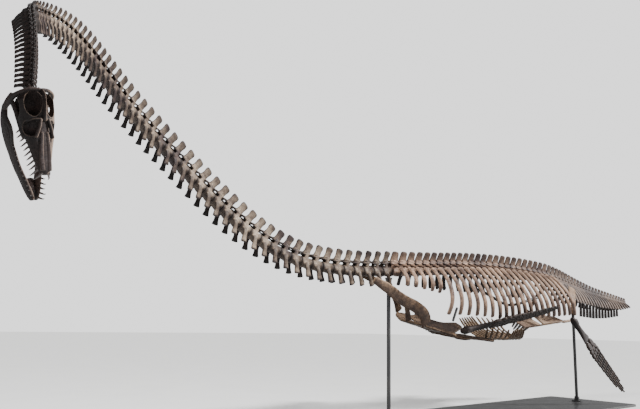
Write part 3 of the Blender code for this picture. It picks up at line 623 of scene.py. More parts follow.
SPINES = {"neck": (0.30, 0.24, 1.10), "trunk": (0.47, 0.12, 0.86), "tail": (0.46, 0.14, 0.95)}
VOXELS_PER_PITCH = 27
VERTEBRA_KEEP = 0.29  # share of the faces that is left, so that a row of bones stays light


def vertebra(number):
    """One vertebra in its own space, joined into one bone; returns its mesh."""
    pitch, width, height, tip = size_of(number)
    bm = bmesh.new()
    centrum(bm, pitch, width, height)
    in_neck = number <= NECK_BONES
    in_trunk = NECK_BONES < number <= NECK_BONES + TRUNK_BONES
    half_length, lean, flare = SPINES["neck" if in_neck else "trunk" if in_trunk else "tail"]
    arch(bm, pitch, width, height, tip, (half_length * pitch, lean * pitch, flare),
         pitch * (0.20 if in_neck else 0.50))
    for side in (-1, 1):
        if in_neck:
            neck_rib(bm, number, side, pitch, width, height)
        elif in_trunk:
            strut(bm, side, pitch, width, height)
        else:
            tail_rib(bm, number, side, pitch, width, height)
    if number in CHEVRONS:
        chevron(bm, number, pitch, width, height)
    wobble(bm, bm.verts, 0.35 * pitch, 0.012 * pitch)
    mesh = joined(bm, pitch / VOXELS_PER_PITCH, 3, VERTEBRA_KEEP)
    for face in mesh.polygons:  # the far ribs of the neck and the chevrons take the near-black second slot: painted shade
        across, up = face.center.y, face.center.z
        if in_neck:
            shaded = across < -0.75 * width and up < -0.50 * height
        else:
            shaded = not in_trunk and up < -1.05 * height and abs(across) < width
        face.material_index = int(shaded)
    return mesh


def row_of_vertebrae(name, numbers, material, nodes):
    bm = bmesh.new()
    for number in numbers:
        mesh = vertebra(number)
        add_mesh(bm, mesh, column_frame(number))
        bpy.data.meshes.remove(mesh)
    # The second slot is the near-black bone: painted shade.
    piece(name, bm, [material, PAINTED_SHADE_BONE], nodes)


# %% The neck in seven lengths, the trunk, the hips' vertebrae and the tail
NECK_LENGTHS = 7
per_length = NECK_BONES // NECK_LENGTHS
# The two hanging lengths of the neck take the near-black bone: painted shade.
for k in range(NECK_LENGTHS):  # the hanging end of the neck is as dark as the head
    row_of_vertebrae(f"neck_bones_{k + 1}", range(per_length * k + 1, per_length * (k + 1) + 1),
                     NECK_BONE if k > 1 else PAINTED_SHADE_BONE, [f"neck_{k + 1}"])
row_of_vertebrae("trunk_vertebrae", TRUNK_NUMBERS, TRUNK_BONE, ["rib_cage_left", "rib_cage_right"])
sacrum_start = TRUNK_NUMBERS.stop
tail_start = sacrum_start + SACRUM_BONES
tail_middle = tail_start + TAIL_BONES // 2
for name, numbers_of_row, node in (
        ("sacral_vertebrae", range(sacrum_start, tail_start), "sacrum"),
        ("tail_bones_1", range(tail_start, tail_middle), "tail_1"),
        ("tail_bones_2", range(tail_middle, BONES + 1), "tail_2")):
    row_of_vertebrae(name, numbers_of_row, TAIL_BONE, [node])

# %% [markdown]
# ## The long ribs
#
# Each rib springs from its strut, arches out and down and ends free in a blunt tip. A curve with a
# round profile would make pipes; a swept oval that is wider along the body than it is thick, with
# a thicker head, looks like a rib.

# %% Ribs, left and right
RIB_PATH = (  # across, up, share of the sweep, half width, half thickness
    (0.130, 0.052, 0.00, 0.036, 0.022),
    (0.180, 0.030, 0.00, 0.031, 0.019),
    (0.370, -0.120, 0.25, 0.033, 0.016),
    (0.460, -0.300, 0.65, 0.034, 0.015),
    (0.460, -0.450, 1.00, 0.031, 0.015),
)
RIB_SWEEP = {75: 0.0, 76: -0.04, 77: 0.03, 79: 0.10, 82: 0.18, 85: 0.21, 95: 0.25}
RIB_SCALE = {71: 0.27, 75: 0.40, 76: 0.84, 82: 1.00, 88: 1.00, 95: 0.84}
FIRST_LONG_RIB = 76
RIGHT_RIB_SHARE = 0.84


def rib_skin(bm, number, side):
    scale = table_value(RIB_SCALE, number)
    if side < 0 and number >= FIRST_LONG_RIB:
        scale *= RIGHT_RIB_SHARE
    sweep_back = table_value(RIB_SWEEP, number)
    stout = 0.72 + 0.28 * scale
    root_across, root_up = RIB_PATH[1][:2]
    path = []
    for across, up, back, half_width, half_thickness in RIB_PATH:
        reach = scale if across > root_across or up < root_up else 1.0
        x = root_across + (across - root_across) * reach
        z = root_up + (up - root_up) * reach
        path.append((Vector((back * sweep_back, side * x, z)), half_width * stout,
                     half_thickness * stout))
    verts_before = len(bm.verts)
    bar(bm, path, X, 12, 5)
    bm.verts.ensure_lookup_table()
    verts = bm.verts[verts_before:]
    wobble(bm, verts, 0.10, 0.0035)
    bmesh.ops.transform(bm, matrix=column_frame(number), verts=verts)


for side_name, side in (("left", 1), ("right", -1)):
    bm = bmesh.new()
    for number in TRUNK_NUMBERS:
        rib_skin(bm, number, side)
    bmesh.ops.recalc_face_normals(bm, faces=bm.faces)
    bmesh.ops.subdivide_edges(bm, edges=bm.edges, cuts=1, use_grid_fill=True, smooth=0.6)
    # The far, right ribs take the near-black bone: painted shade.
    piece(f"ribs_{side_name}", bm, [TRUNK_BONE if side > 0 else PAINTED_SHADE_BONE],
          [f"rib_cage_{side_name}"])

# %% [markdown]
# ## The head
#
# The skull is long, low and flat-snouted: a thin crest between two large openings behind, round
# eye sockets in the middle, and a snout full of long interlocking teeth. It is built in its own
# space (x left, y up, z forward from the back of the head), which keeps the numbers readable, and
# moved into place at the end. Openings are cut while the form is still coarse, because a cut
# through a few hundred faces is quick and clean; the remesh rounds them afterwards.

# %% The head's own space
SKULL_LENGTH = 0.405
SKULL_FORWARD = Vector((0.20, -0.18, -0.94)).normalized()
SKULL_UP = Vector((0.13, -0.96, 0.18))
head_up = (SKULL_UP - SKULL_FORWARD * SKULL_UP.dot(SKULL_FORWARD)).normalized()
head_turn = Matrix((head_up.cross(SKULL_FORWARD), head_up, SKULL_FORWARD)).transposed().to_4x4()
first_frame = column_frame(0.5)
HEAD = Matrix.Translation(first_frame.translation - first_frame.col[0].to_3d() * 0.012) @ head_turn
print("head at", HEAD.translation)


def cut_away(obj, cutters):
    """Cuts each cutter's mesh out of an object and returns the result."""
    tools = [linked("cutter", mesh) for mesh in cutters]
    for tool in tools:
        cut = obj.modifiers.new("cut", "BOOLEAN")
        cut.operation = "DIFFERENCE"
        cut.solver = "EXACT"
        cut.object = tool
    mesh = settled_mesh(obj)
    for tool in tools:
        bpy.data.objects.remove(tool)
    return mesh


def egg(middle, radii, turn=None):
    """A closed egg shape used as a cutter."""
    bm = bmesh.new()
    bmesh.ops.create_uvsphere(bm, u_segments=20, v_segments=12, radius=1.0)
    place = Matrix.Translation(middle) @ (turn or Matrix()) @ Matrix.Diagonal((*radii, 1.0))
    bmesh.ops.transform(bm, matrix=place, verts=bm.verts)
    return mesh_of(bm, "egg")


# %% The skull's solid form, cut and joined
SKULL_SHAPE = (  # share of the length: half width, top, bottom
    (0.07, 0.034, 0.064, -0.016),
    (0.11, 0.070, 0.096, -0.048),
    (0.18, 0.080, 0.110, -0.060),
    (0.28, 0.079, 0.098, -0.052),
    (0.40, 0.076, 0.076, -0.040),
    (0.50, 0.071, 0.066, -0.033),
    (0.60, 0.061, 0.054, -0.029),
    (0.70, 0.050, 0.042, -0.028),
    (0.80, 0.041, 0.030, -0.027),
    (0.89, 0.033, 0.020, -0.025),
    (0.96, 0.023, 0.012, -0.021),
    (0.99, 0.012, 0.004, -0.016),
)
SKULL_OPENINGS = (  # middle, radii, turn: behind the crest, beside the cheek, eye and nostril
    ((0.039, 0.085, 0.098), (0.033, 0.085, 0.058), 0),
    ((0.080, 0.006, 0.088), (0.034, 0.028, 0.050), 0),
    ((0.058, 0.050, 0.203), (0.042, 0.036, 0.037), -34),
    ((0.036, 0.056, 0.262), (0.010, 0.018, 0.016), -34),
)
PALATE_HOLLOWS = (((0, -0.075, 0.110), (0.062, 0.060, 0.125)),
                  ((0, -0.052, 0.290), (0.034, 0.030, 0.110)))
CREST = ((0, 0.072, 0.034, 0.007, 0.018), (0, 0.110, 0.066, 0.004, 0.014),
         (0, 0.103, 0.115, 0.005, 0.014), (0, 0.076, 0.172, 0.012, 0.012))
SKULL_BARS = (  # way of the width, then rows of (out, up, forward, half width, half thickness)
    (Z, ((0.006, 0.096, 0.038, 0.008, 0.010), (0.040, 0.086, 0.036, 0.009, 0.010),
         (0.074, 0.054, 0.038, 0.009, 0.012), (0.090, 0.000, 0.046, 0.014, 0.014),
         (0.090, -0.070, 0.060, 0.015, 0.012))),  # back of the head down to the jaw joint
    (X, ((0.082, -0.018, 0.040, 0.010, 0.014), (0.074, -0.012, 0.100, 0.008, 0.013),
         (0.072, -0.006, 0.160, 0.008, 0.014), (0.066, -0.004, 0.225, 0.008, 0.013))),  # cheek
    (Z, ((0.016, 0.078, 0.172, 0.006, 0.009), (0.042, 0.062, 0.168, 0.006, 0.009),
         (0.059, 0.032, 0.170, 0.005, 0.007))),  # behind the eye
    (X, ((0.018, 0.078, 0.172, 0.007, 0.008), (0.026, 0.070, 0.205, 0.007, 0.008),
         (0.040, 0.050, 0.245, 0.007, 0.008))),  # brow
    (X, ((0.012, 0.056, 0.225, 0.008, 0.007), (0.018, 0.034, 0.300, 0.010, 0.006),
         (0.016, 0.010, 0.385, 0.012, 0.006))),  # ridge of the snout
)


def skull_value(share, column):
    """A column of SKULL_SHAPE, read at a share of the skull's length."""
    return float(np.interp(share, [s[0] for s in SKULL_SHAPE], [s[column] for s in SKULL_SHAPE]))


def skull_form():
    bm = bmesh.new()
    stations = []
    for share, half_width, top, bottom in SKULL_SHAPE:
        middle = Vector((0, (top + bottom) / 2, share * SKULL_LENGTH))
        stations.append(station(middle, Z, X, half_width, (top - bottom) / 2))
    sweep(bm, stations, 28)
    for v in bm.verts:  # flat palate, steep cheeks and a ridge along the top
        top, bottom = (skull_value(v.co.z / SKULL_LENGTH, column) for column in (2, 3))
        level = (v.co.y - bottom) / max(top - bottom, 1e-4)
        v.co.y -= 0.5 * (v.co.y - bottom) * max(0.0, 0.35 - level)
        v.co.x *= 1.0 + 0.16 * max(0.0, 0.45 - abs(level - 0.30)) * (v.co.x != 0)
    cutters = []
    for side in (-1, 1):
        for (out, up, forward), radii, angle in SKULL_OPENINGS:
            cutters.append(egg((side * out, up, forward), radii,
                               Matrix.Rotation(math.radians(angle * side), 4, "Z")))
    cutters += [egg(middle, radii) for middle, radii in PALATE_HOLLOWS]
    return cut_away(linked("skull_form", mesh_of(bm)), cutters)


def skull_ridges(bm):
    """Crest, bars, and the ball joint to the neck."""
    bar(bm, mirrored(CREST, 1), X, 10)
    for side in (-1, 1):
        for hint, rows in SKULL_BARS:
            bar(bm, mirrored(rows, side), hint, 10)
    sweep(bm, rounded([station(Vector((0, 0.010, -0.006)), Z, X, 0.016, 0.016),
                       station(Vector((0, 0.012, 0.020)), Z, X, 0.020, 0.020)], 1.0, 0.6), 14)


# %% [markdown]
# Teeth come last, as slim bent cones in their own finish. They stand in the jaw's edge, longest
# at the front, lean out and forward, and alternate in length as new teeth replace old ones.

# %% Teeth and the finished skull
def tooth(bm, root, tip, radius, bend):
    """A slim cone from root to tip, bent like a claw, with its root sunk into the jaw."""
    axis = tip - root
    middle = root.lerp(tip, 0.5) + bend
    ahead = (middle - root).normalized()
    spots = [(root - axis * 0.18, 1.0), (root, 1.0), (root.lerp(middle, 0.6), 0.86), (middle, 0.70),
             (middle.lerp(tip, 0.5) + bend * 0.35, 0.42), (tip, 0.07)]
    stations = []
    for k, (spot, scale) in enumerate(spots):
        after = spots[min(k + 1, len(spots) - 1)][0]
        ahead = after - spot if (after - spot).length > 1e-6 else ahead
        stations.append(station(spot, ahead, X if abs(ahead.normalized().x) < 0.9 else Y,
                                radius * scale, radius * scale))
    sweep(bm, stations, 8)


def tooth_pair(bm, root, length, radius, way, splay, lean, bulge):
    """A tooth on each side of a jaw, pointing up or down (way) and splayed outwards."""
    for side in (-1, 1):
        foot = Vector((side * root[0], root[1], root[2]))
        tip = foot + Vector((side * splay * length, way * length, lean * length))
        tooth(bm, foot, tip, radius, Vector((side * bulge * length, 0, 0.12 * length)))


def toothed_piece(name, bm, teeth, matrix, node):
    """Joins a jaw's forms, adds its teeth in enamel and moves both into place."""
    mesh = joined(bm, HEAD_VOXEL)
    bm = bmesh.new()
    add_mesh(bm, mesh)
    add_mesh(bm, mesh_of(teeth), slot_index=1)
    bmesh.ops.transform(bm, matrix=matrix, verts=bm.verts)
    piece(name, bm, [HEAD_BONE, ENAMEL], [node])


HEAD_VOXEL = 0.0019
UPPER_TEETH = 11
teeth = bmesh.new()
for index, share in enumerate(np.linspace(0.46, 0.975, UPPER_TEETH)):
    along = index / (UPPER_TEETH - 1)
    root = (skull_value(share, 1) * 0.93, skull_value(share, 3) + 0.012, share * SKULL_LENGTH)
    length = 0.020 + 0.026 * along ** 2 + (0.006 if index % 2 else 0.0)
    tooth_pair(teeth, root, length, 0.0044 + 0.0010 * along, -1, 0.42, 0.28, 0.10)
bm = bmesh.new()
bm.from_mesh(skull_form())
skull_ridges(bm)
wobble(bm, bm.verts, 0.03, 0.0012)
toothed_piece("skull_bones", bm, teeth, HEAD, "skull")

# %% [markdown]
# ## The lower jaw
#
# Two slim branches meet in a short, deep chin. Each branch is deepest under the cheek, ends behind
# in a joint and a short lever, and carries its teeth in a row along the top.

# %% Lower jaw
GAPE = math.radians(17)
JAW_JOINT_HALF_WIDTH = 0.092
JAW_JOINT = Matrix.Translation((0, -0.080, 0.060))
JAW_FORWARD = Vector((0.250, -0.18, -0.94)).normalized()
JAW_UP = Vector((0.02, -0.97, 0.18))
jaw_up = (JAW_UP - JAW_FORWARD * JAW_UP.dot(JAW_FORWARD)).normalized()
jaw_turn = Matrix((jaw_up.cross(JAW_FORWARD), jaw_up, JAW_FORWARD)).transposed().to_4x4()
JAW = (Matrix.Translation(HEAD.translation) @ jaw_turn @ JAW_JOINT
       @ Matrix.Rotation(GAPE, 4, "X"))
JAW_PATH = (  # out from the middle, height, forward, half depth, half thickness
    (0.062, 0.020, -0.072, 0.009, 0.008),
    (0.080, 0.006, -0.040, 0.014, 0.010),
    (JAW_JOINT_HALF_WIDTH, -0.004, 0.000, 0.021, 0.013),
    (JAW_JOINT_HALF_WIDTH, -0.018, 0.050, 0.034, 0.012),
    (0.082, -0.030, 0.120, 0.041, 0.011),
    (0.066, -0.036, 0.190, 0.040, 0.011),
    (0.050, -0.036, 0.260, 0.036, 0.012),
    (0.033, -0.030, 0.320, 0.033, 0.013),
    (0.018, -0.023, 0.378, 0.028, 0.014),
    (0.009, -0.018, 0.408, 0.019, 0.012),
)


def jaw_spot(forward):
    """Out, height and half depth of a branch at a distance ahead of the joint."""
    keys = [p[2] for p in JAW_PATH]
    return [float(np.interp(forward, keys, [p[j] for p in JAW_PATH])) for j in (0, 1, 3)]


JAW_COMB = ((0.091, -0.014, 0.010, 0.010, 0.006), (0.089, 0.010, 0.050, 0.014, 0.008),
            (0.086, 0.030, 0.095, 0.012, 0.007), (0.078, 0.006, 0.140, 0.011, 0.007),
            (0.068, -0.016, 0.180, 0.012, 0.007))
CHIN = ((0, -0.040, 0.318, 0.022, 0.012), (0, -0.030, 0.358, 0.018, 0.020),
        (0, -0.020, 0.400, 0.012, 0.018))
LOWER_TEETH = 12
bm = bmesh.new()
for side in (-1, 1):
    bar(bm, mirrored(JAW_PATH, side), Y, 12, 3)
    bar(bm, mirrored(JAW_COMB, side), Y, 10)
bar(bm, mirrored(CHIN, 1), X, 14)
wobble(bm, bm.verts, 0.03, 0.0010)
teeth = bmesh.new()
for index, forward in enumerate(np.linspace(0.160, 0.402, LOWER_TEETH)):
    along = index / (LOWER_TEETH - 1)
    out, height, half_depth = jaw_spot(forward)
    length = 0.014 + 0.028 * along ** 1.4 + (0.006 if index % 2 == 0 else 0.0)
    tooth_pair(teeth, (out, height + half_depth - 0.006, forward), length,
               0.0040 + 0.0018 * along, 1, 0.35, 0.22, 0.08)
toothed_piece("lower_jaw", bm, teeth, JAW, "mandible")

# %% [markdown]
# ## The four limbs
#
# Each limb is a wing of bone. One stout upper bone ends in a broad flat fan; two short plates, two
# rows of pebble-like wrist bones and five fingers follow. The fingers are strings of small
# hourglass bones, many more than on land animals, set close together in one flat blade.

# %% Upper bones
LIMBS = {  # limb: (upper bone, joint, tip, direction of its width)
    "front_left": ("humerus", (-0.76, -0.09, -0.735), (0.53, -0.55, -0.455), (0.0, -0.90, 0.45)),
    "front_right": ("humerus", (-0.76, 0.58, -0.50), (0.30, 1.30, -0.75), (0.0, 0.95, 0.30)),
    "hind_left": ("femur", (1.43, -0.26, -0.56), (2.20, -0.55, -1.55), (1.0, 0.1, 0.3)),
    "hind_right": ("femur", (1.43, 0.41, -0.47), (2.20, 1.10, -0.75), (0.0, 0.95, 0.3)),
}
BODY_VOXEL = 0.0045
UPPER_BONE = ((0.004, 0.036, 0.034), (0.03, 0.051, 0.045), (0.09, 0.047, 0.037), (0.17, 0.054, 0.030),
              (0.24, 0.080, 0.025), (0.281, 0.099, 0.020))  # share: half width, half thickness


def limb_space(joint, tip, width):
    """Matrix from a limb's own space (x across, y through, z along) to the frame's space."""
    along = (Vector(tip) - Vector(joint)).normalized()
    across = Vector(width)
    across = (across - along * across.dot(along)).normalized()
    turn = Matrix((across, along.cross(across), along)).transposed().to_4x4()
    return Matrix.Translation(Vector(joint) + SHIFT) @ turn


def upper_bone(name, node, space, length):
    bm = bmesh.new()
    bar(bm, [(Z * share * length, a, b) for share, a, b in UPPER_BONE], X, 18, 4, start=0.9, end=0.6)
    bar(bm, [(Vector((0.020, 0.030, 0.030 * length)), 0.026, 0.020),
             (Vector((0.016, 0.030, 0.075 * length)), 0.020, 0.014)], X, 10)
    bar(bm, [(Vector((-0.025, 0.0, 0.10 * length)), 0.016, 0.020),
             (Vector((-0.034, 0.0, 0.17 * length)), 0.014, 0.014)], X, 10)
    wobble(bm, bm.verts, 0.05, 0.003)
    mesh = joined(bm, BODY_VOXEL, 4)
    bm = bmesh.new()
    add_mesh(bm, mesh, space)
    # The upper limb bones take the near-black bone: painted shade.
    piece(name, bm, [PAINTED_SHADE_BONE], [node])


# %% Small limb bones
PLATE_PROFILE = ((-1.0, 0.55), (-0.85, 0.85), (-0.3, 1.0), (0.3, 1.0), (0.85, 0.85), (1.0, 0.55))
FINGER_PROFILE = ((0.0, 0.62), (0.05, 0.92), (0.16, 1.0), (0.36, 0.72), (0.60, 0.66), (0.84, 0.88),
                  (0.95, 0.84), (1.0, 0.55))


def plate_bone(bm, x, z, half_width, half_length, thickness):
    """A flat rounded bone: a short oval drum with soft edges."""
    sweep(bm, [station(Vector((x, thickness * y, z)), Y, X, half_width * s, half_length * s)
               for y, s in PLATE_PROFILE], 14)


def finger_bone(bm, start, end, half_width, half_thickness):
    """A small hourglass bone."""
    sweep(bm, [station(start.lerp(end, t), end - start, X, half_width * s, half_thickness * s)
               for t, s in FINGER_PROFILE], 10)


FINGER_SHARES = {"front": (0.95, 0.99, 1.00, 0.99, 0.95), "hind": (0.87, 0.96, 0.995, 0.97, 0.89)}
PADDLE_NARROWINGS = {"front": 0.28, "hind": 0.34}
FINGER_BONES = (6, 8, 9, 8, 6)
WRIST_HALF_WIDTH = 0.135
WRIST_SHARE = 0.46
WRIST_GAP = 0.006
PADDLE_BEND = 0.030
KNUCKLE_GAP = 0.04  # share of a finger bone's room that stays open
FINGER_SHRINK = 0.92  # each finger bone's length as a share of the one before


def paddle(name, node, space, length, pair):
    bm = bmesh.new()
    shares, narrowing_share = FINGER_SHARES[pair], PADDLE_NARROWINGS[pair]
    elbow = 0.285 * length + 0.004
    forearm = 0.055 * length
    for x, half_width in ((-0.053, 0.050), (0.053, 0.048)):
        plate_bone(bm, x, elbow + forearm, half_width, forearm * 0.97, 0.021)
    row = 0.028 * length
    for count, share, reach in ((3, 0.395, 0.124), (4, 0.440, 0.131)):
        for k in range(count):
            x = reach * (2 * (k + 0.5) / count - 1)
            plate_bone(bm, x, share * length + 0.002, reach / count * 0.97, row * 0.95, 0.019)
    slot = WRIST_HALF_WIDTH / len(shares)
    full_reach = length * (1 - WRIST_SHARE)
    for k, (share, count) in enumerate(zip(shares, FINGER_BONES)):
        reach = length * (share - WRIST_SHARE) - WRIST_GAP
        rooms = np.cumsum([0.0] + [FINGER_SHRINK ** j for j in range(count)])
        rooms *= reach / rooms[-1]
        for a, b in zip(rooms, rooms[1:]):
            ends = []
            for part in (a + KNUCKLE_GAP * (b - a), b):
                along = part / full_reach
                narrowing = 1.0 - narrowing_share * along
                across = (2 * k + 1 - len(shares)) * slot * narrowing + PADDLE_BEND * along ** 2
                ends.append(Vector((across, 0, WRIST_SHARE * length + WRIST_GAP + part)))
            middle = (a + b) / 2
            taper = (1.0 - narrowing_share * middle / full_reach) * (1.0 - 0.2 * (middle / reach) ** 3)
            finger_bone(bm, ends[0], ends[1], slot * 0.93 * taper,
                        0.012 * (1.0 - 0.50 * middle / reach) + 0.007)
    bmesh.ops.recalc_face_normals(bm, faces=bm.faces)
    bmesh.ops.subdivide_edges(bm, edges=bm.edges, cuts=1, use_grid_fill=True, smooth=0.5)
    wobble(bm, bm.verts, 0.018, 0.0012)
    bmesh.ops.transform(bm, matrix=space, verts=bm.verts)
    # The paddles take the near-black bone: painted shade.
    piece(name, bm, [PAINTED_SHADE_BONE], [node])


for limb, (bone_name, joint, tip, width) in LIMBS.items():
    space = limb_space(joint, tip, width)
    length = (Vector(tip) - Vector(joint)).length
    pair, side_name = limb.split("_")
    upper_bone(f"{bone_name}_bone_{side_name}", f"{bone_name}_{side_name}", space, length)
    paddle(f"paddle_bones_{limb}", f"paddle_{limb}", space, length, pair)

# %% [markdown]
# ## Shoulder and hip girdles
#
# Plesiosaur girdles lie flat under the body: broad plates that meet along the middle line. Each
# plate is a thin disc whose rim is moved onto a soft closed outline, with a swollen rim swept
# round it and stout forms where it carries a limb. The remesh makes one bone of these.

# %% Plates from outlines
SHOULDER_BANK = math.radians(20)
BELLY_BANK = math.radians(15)
HIP_BANK = math.radians(8)
PLATE_VOXEL = 0.0055
MIDDLE_LINE = 0.01  # outline points nearer the middle line than this keep their corner


def banked(angle):
    """From a girdle's own space to the frame's space: the left side turned down."""
    return Matrix.Translation(SHIFT) @ Matrix.Rotation(angle, 4, "X")


def soft_outline(points, count=64, rounding=0.28):
    """Evenly spaced places along a closed outline whose outer corners are cut soft."""
    points = [Vector((*p, 0.0)) for p in points]
    soft = []
    for k, point in enumerate(points):
        before, after = points[k - 1], points[(k + 1) % len(points)]
        if point.y < MIDDLE_LINE:
            soft.append(point)
        else:
            soft += [point.lerp(before, rounding), point.lerp((before + after) / 2, rounding / 4),
                     point.lerp(after, rounding)]
    soft.append(soft[0])
    lengths = np.concatenate([[0.0], np.cumsum([(b - a).length for a, b in zip(soft, soft[1:])])])
    spots = np.linspace(0, lengths[-1], count, endpoint=False)
    return [Vector([float(np.interp(s, lengths, [p[j] for p in soft])) for j in range(3)])
            for s in spots]


def plate_mesh(outline, height_at, thickness, side, extras, hole=None):
    """One girdle bone: a thin sheet, its swollen rim and the extra bars, joined."""
    rim = [Vector((p.x, -side * p.y, height_at(p.x, p.y) - thickness / 2))
           for p in soft_outline(outline)]
    middle = sum(rim, Vector()) / len(rim)
    bm = bmesh.new()
    made = bmesh.ops.create_circle(bm, cap_ends=True, segments=len(rim), radius=1.0)["verts"]
    face = made[0].link_faces[0]
    for loop, spot in zip(face.loops, rim):
        loop.vert.co = spot.lerp(middle, 0.02) + Z * 0.36 * thickness
    grown = bmesh.ops.extrude_face_region(bm, geom=[face], use_keep_orig=True)["geom"]
    bmesh.ops.translate(bm, vec=(0, 0, -0.72 * thickness),
                        verts=[g for g in grown if isinstance(g, bmesh.types.BMVert)])
    tube = []
    for k in range(len(rim) + 1):
        spot = rim[k % len(rim)]
        ahead = rim[(k + 1) % len(rim)] - rim[k - 1]
        inward = (middle - spot).normalized() * 0.50 * thickness
        tube.append(station(spot + inward, ahead, Z, 0.53 * thickness, 0.56 * thickness))
    sweep(bm, tube, 8)
    for path, hint in extras:
        bar(bm, path, hint, 14, 4)
    mesh = joined(bm, PLATE_VOXEL)
    if hole is not None:
        mesh = cut_away(linked("plate", mesh), [hole])
    bm = bmesh.new()
    bm.from_mesh(mesh)
    wobble(bm, bm.verts, 0.13, 0.0045)
    wobble(bm, bm.verts, 0.03, 0.0012)
    return mesh_of(bm)


def girdle_piece(name, node, mesh, angle, material=GIRDLE_BONE):
    bm = bmesh.new()
    add_mesh(bm, mesh, banked(angle))
    piece(name, bm, [material], [node])


# %% [markdown]
# The shoulder blade of a plesiosaur is a plate below with a strap that rises backwards and out.
# Behind it the coracoid runs on as a long plate, thick where both form the socket of the arm.

# %% Shoulder girdle
SCAPULA_PLATE = ((-1.47, 0.003), (-1.45, 0.100), (-1.36, 0.180), (-1.15, 0.250), (-0.98, 0.250),
                 (-0.82, 0.335), (-0.80, 0.260), (-0.90, 0.170), (-0.92, 0.003))
SCAPULA_STRAPS = {  # by side, from the plate's edge up beside the neck; the right one lies closer
    1: ((-1.27, 0.205, -0.625, 0.085, 0.020), (-1.36, 0.230, -0.525, 0.075, 0.018),
        (-1.70, 0.190, -0.380, 0.066, 0.014), (-2.03, 0.225, -0.253, 0.056, 0.013),
        (-2.28, 0.224, -0.163, 0.038, 0.012)),
    -1: ((-1.30, 0.205, -0.610, 0.052, 0.020), (-1.36, 0.220, -0.535, 0.034, 0.018),
         (-1.70, 0.130, -0.335, 0.034, 0.014), (-2.03, 0.130, -0.225, 0.038, 0.013),
         (-2.28, 0.150, -0.160, 0.032, 0.012)),
}
SCAPULA_POST = ((-1.66, 0.186, -0.400, 0.040, 0.018), (-1.56, 0.148, -0.520, 0.034, 0.016),
                (-1.47, 0.112, -0.620, 0.042, 0.018))
CORACOID = ((-0.91, 0.003), (-0.89, 0.165), (-0.79, 0.258), (-0.72, 0.300), (-0.62, 0.345),
            (-0.42, 0.270), (-0.20, 0.280), (-0.02, 0.310), (-0.02, 0.210), (-0.24, 0.090),
            (-0.44, 0.003))


def scapula_height(x, y):
    return -0.655 - 0.21 * (x + 1.44) + 0.24 * y


def coracoid_height(x, y):
    return -0.79 - 0.06 * (x + 0.74) + 0.17 * y


def pubis_height(x, y):
    return -0.68 + 0.10 * (x - 0.85) + 0.31 * y


def on_side(path, side):
    """Bar stations given as (x, out, up, half width, half thickness)."""
    return [(Vector((x, -side * y, z)), a, b) for x, y, z, a, b in path]


SCAPULA_SOCKET = ((-1.02, 0.235, -0.698, 0.022, 0.018), (-0.90, 0.280, -0.712, 0.030, 0.022),
                  (-0.84, 0.302, -0.720, 0.026, 0.022))
SCAPULA_HOLE = (-1.12, 0.130, -0.703)
CORACOID_SOCKET = ((-0.74, 0.262, -0.762, 0.028, 0.022), (-0.64, 0.310, -0.762, 0.030, 0.022),
                   (-0.56, 0.285, -0.772, 0.022, 0.018))
CORACOID_KEEL = ((-0.88, 0.020, -0.800, 0.020, 0.016), (-0.66, 0.022, -0.806, 0.022, 0.018),
                 (-0.46, 0.022, -0.816, 0.018, 0.014))
for side_name, side in (("left", 1), ("right", -1)):
    forms = [(on_side(SCAPULA_STRAPS[side], side), Vector((0.5, 0, 0.8))),
             (on_side(SCAPULA_SOCKET, side), Y)]
    if side > 0:
        forms.append((on_side(SCAPULA_POST, side), X))
    x, out, up = SCAPULA_HOLE
    hole = egg((x, -side * out, up), (0.050, 0.042, 0.10))
    mesh = plate_mesh(SCAPULA_PLATE, scapula_height, 0.026, side, forms, hole)
    girdle_piece(f"shoulder_blade_{side_name}", f"scapula_{side_name}", mesh, SHOULDER_BANK)
    forms = [(on_side(rows, side), Y) for rows in (CORACOID_SOCKET, CORACOID_KEEL)]
    mesh = plate_mesh(CORACOID, coracoid_height, 0.030, side, forms)
    girdle_piece(f"coracoid_bone_{side_name}", f"coracoid_{side_name}", mesh, SHOULDER_BANK,
                 SHADED_BONE)

# %% [markdown]
# The hip has two plates of the same kind below, and a slim ilium that rises from the socket to the
# ribs of the hip vertebrae. Nothing of it is fused to the backbone.

# %% Hip girdle
PUBIS = ((0.85, 0.003), (0.87, 0.16), (0.98, 0.30), (1.14, 0.345), (1.32, 0.330), (1.36, 0.26),
         (1.26, 0.16), (1.24, 0.003))
ISCHIUM = ((1.30, 0.003), (1.39, 0.20), (1.42, 0.265), (1.51, 0.265), (1.64, 0.22), (1.80, 0.14),
           (1.84, 0.003))
ILIUM = ((1.475, 0.335, -0.450, 0.040, 0.024), (1.490, 0.315, -0.390, 0.044, 0.019),
         (1.510, 0.280, -0.290, 0.056, 0.016), (1.55, 0.240, -0.210, 0.070, 0.014),
         (1.59, 0.205, -0.110, 0.080, 0.013))
HIP_PLATES = (  # piece, node, outline, socket, thickness
    ("pubis_bone", "pubis", PUBIS,
     ((1.24, 0.315, -0.562, 0.030, 0.018), (1.32, 0.300, -0.556, 0.028, 0.018)), 0.024),
    ("ischium_bone", "ischium", ISCHIUM,
     ((1.42, 0.245, -0.563, 0.024, 0.016), (1.52, 0.240, -0.556, 0.026, 0.016)), 0.022),
)
for side_name, side in (("left", 1), ("right", -1)):
    for name, node, outline, socket, thickness in HIP_PLATES:
        mesh = plate_mesh(outline, pubis_height, thickness, side, [(on_side(socket, side), Y)])
        girdle_piece(f"{name}_{side_name}", f"{node}_{side_name}", mesh, HIP_BANK, HIP_BONE)
    bm = bmesh.new()
    bar(bm, on_side(ILIUM, side), Vector((1, 0, 0.2)), 14, 5)
    wobble(bm, bm.verts, 0.06, 0.003)
    girdle_piece(f"ilium_bone_{side_name}", f"ilium_{side_name}", joined(bm, BODY_VOXEL), HIP_BANK)

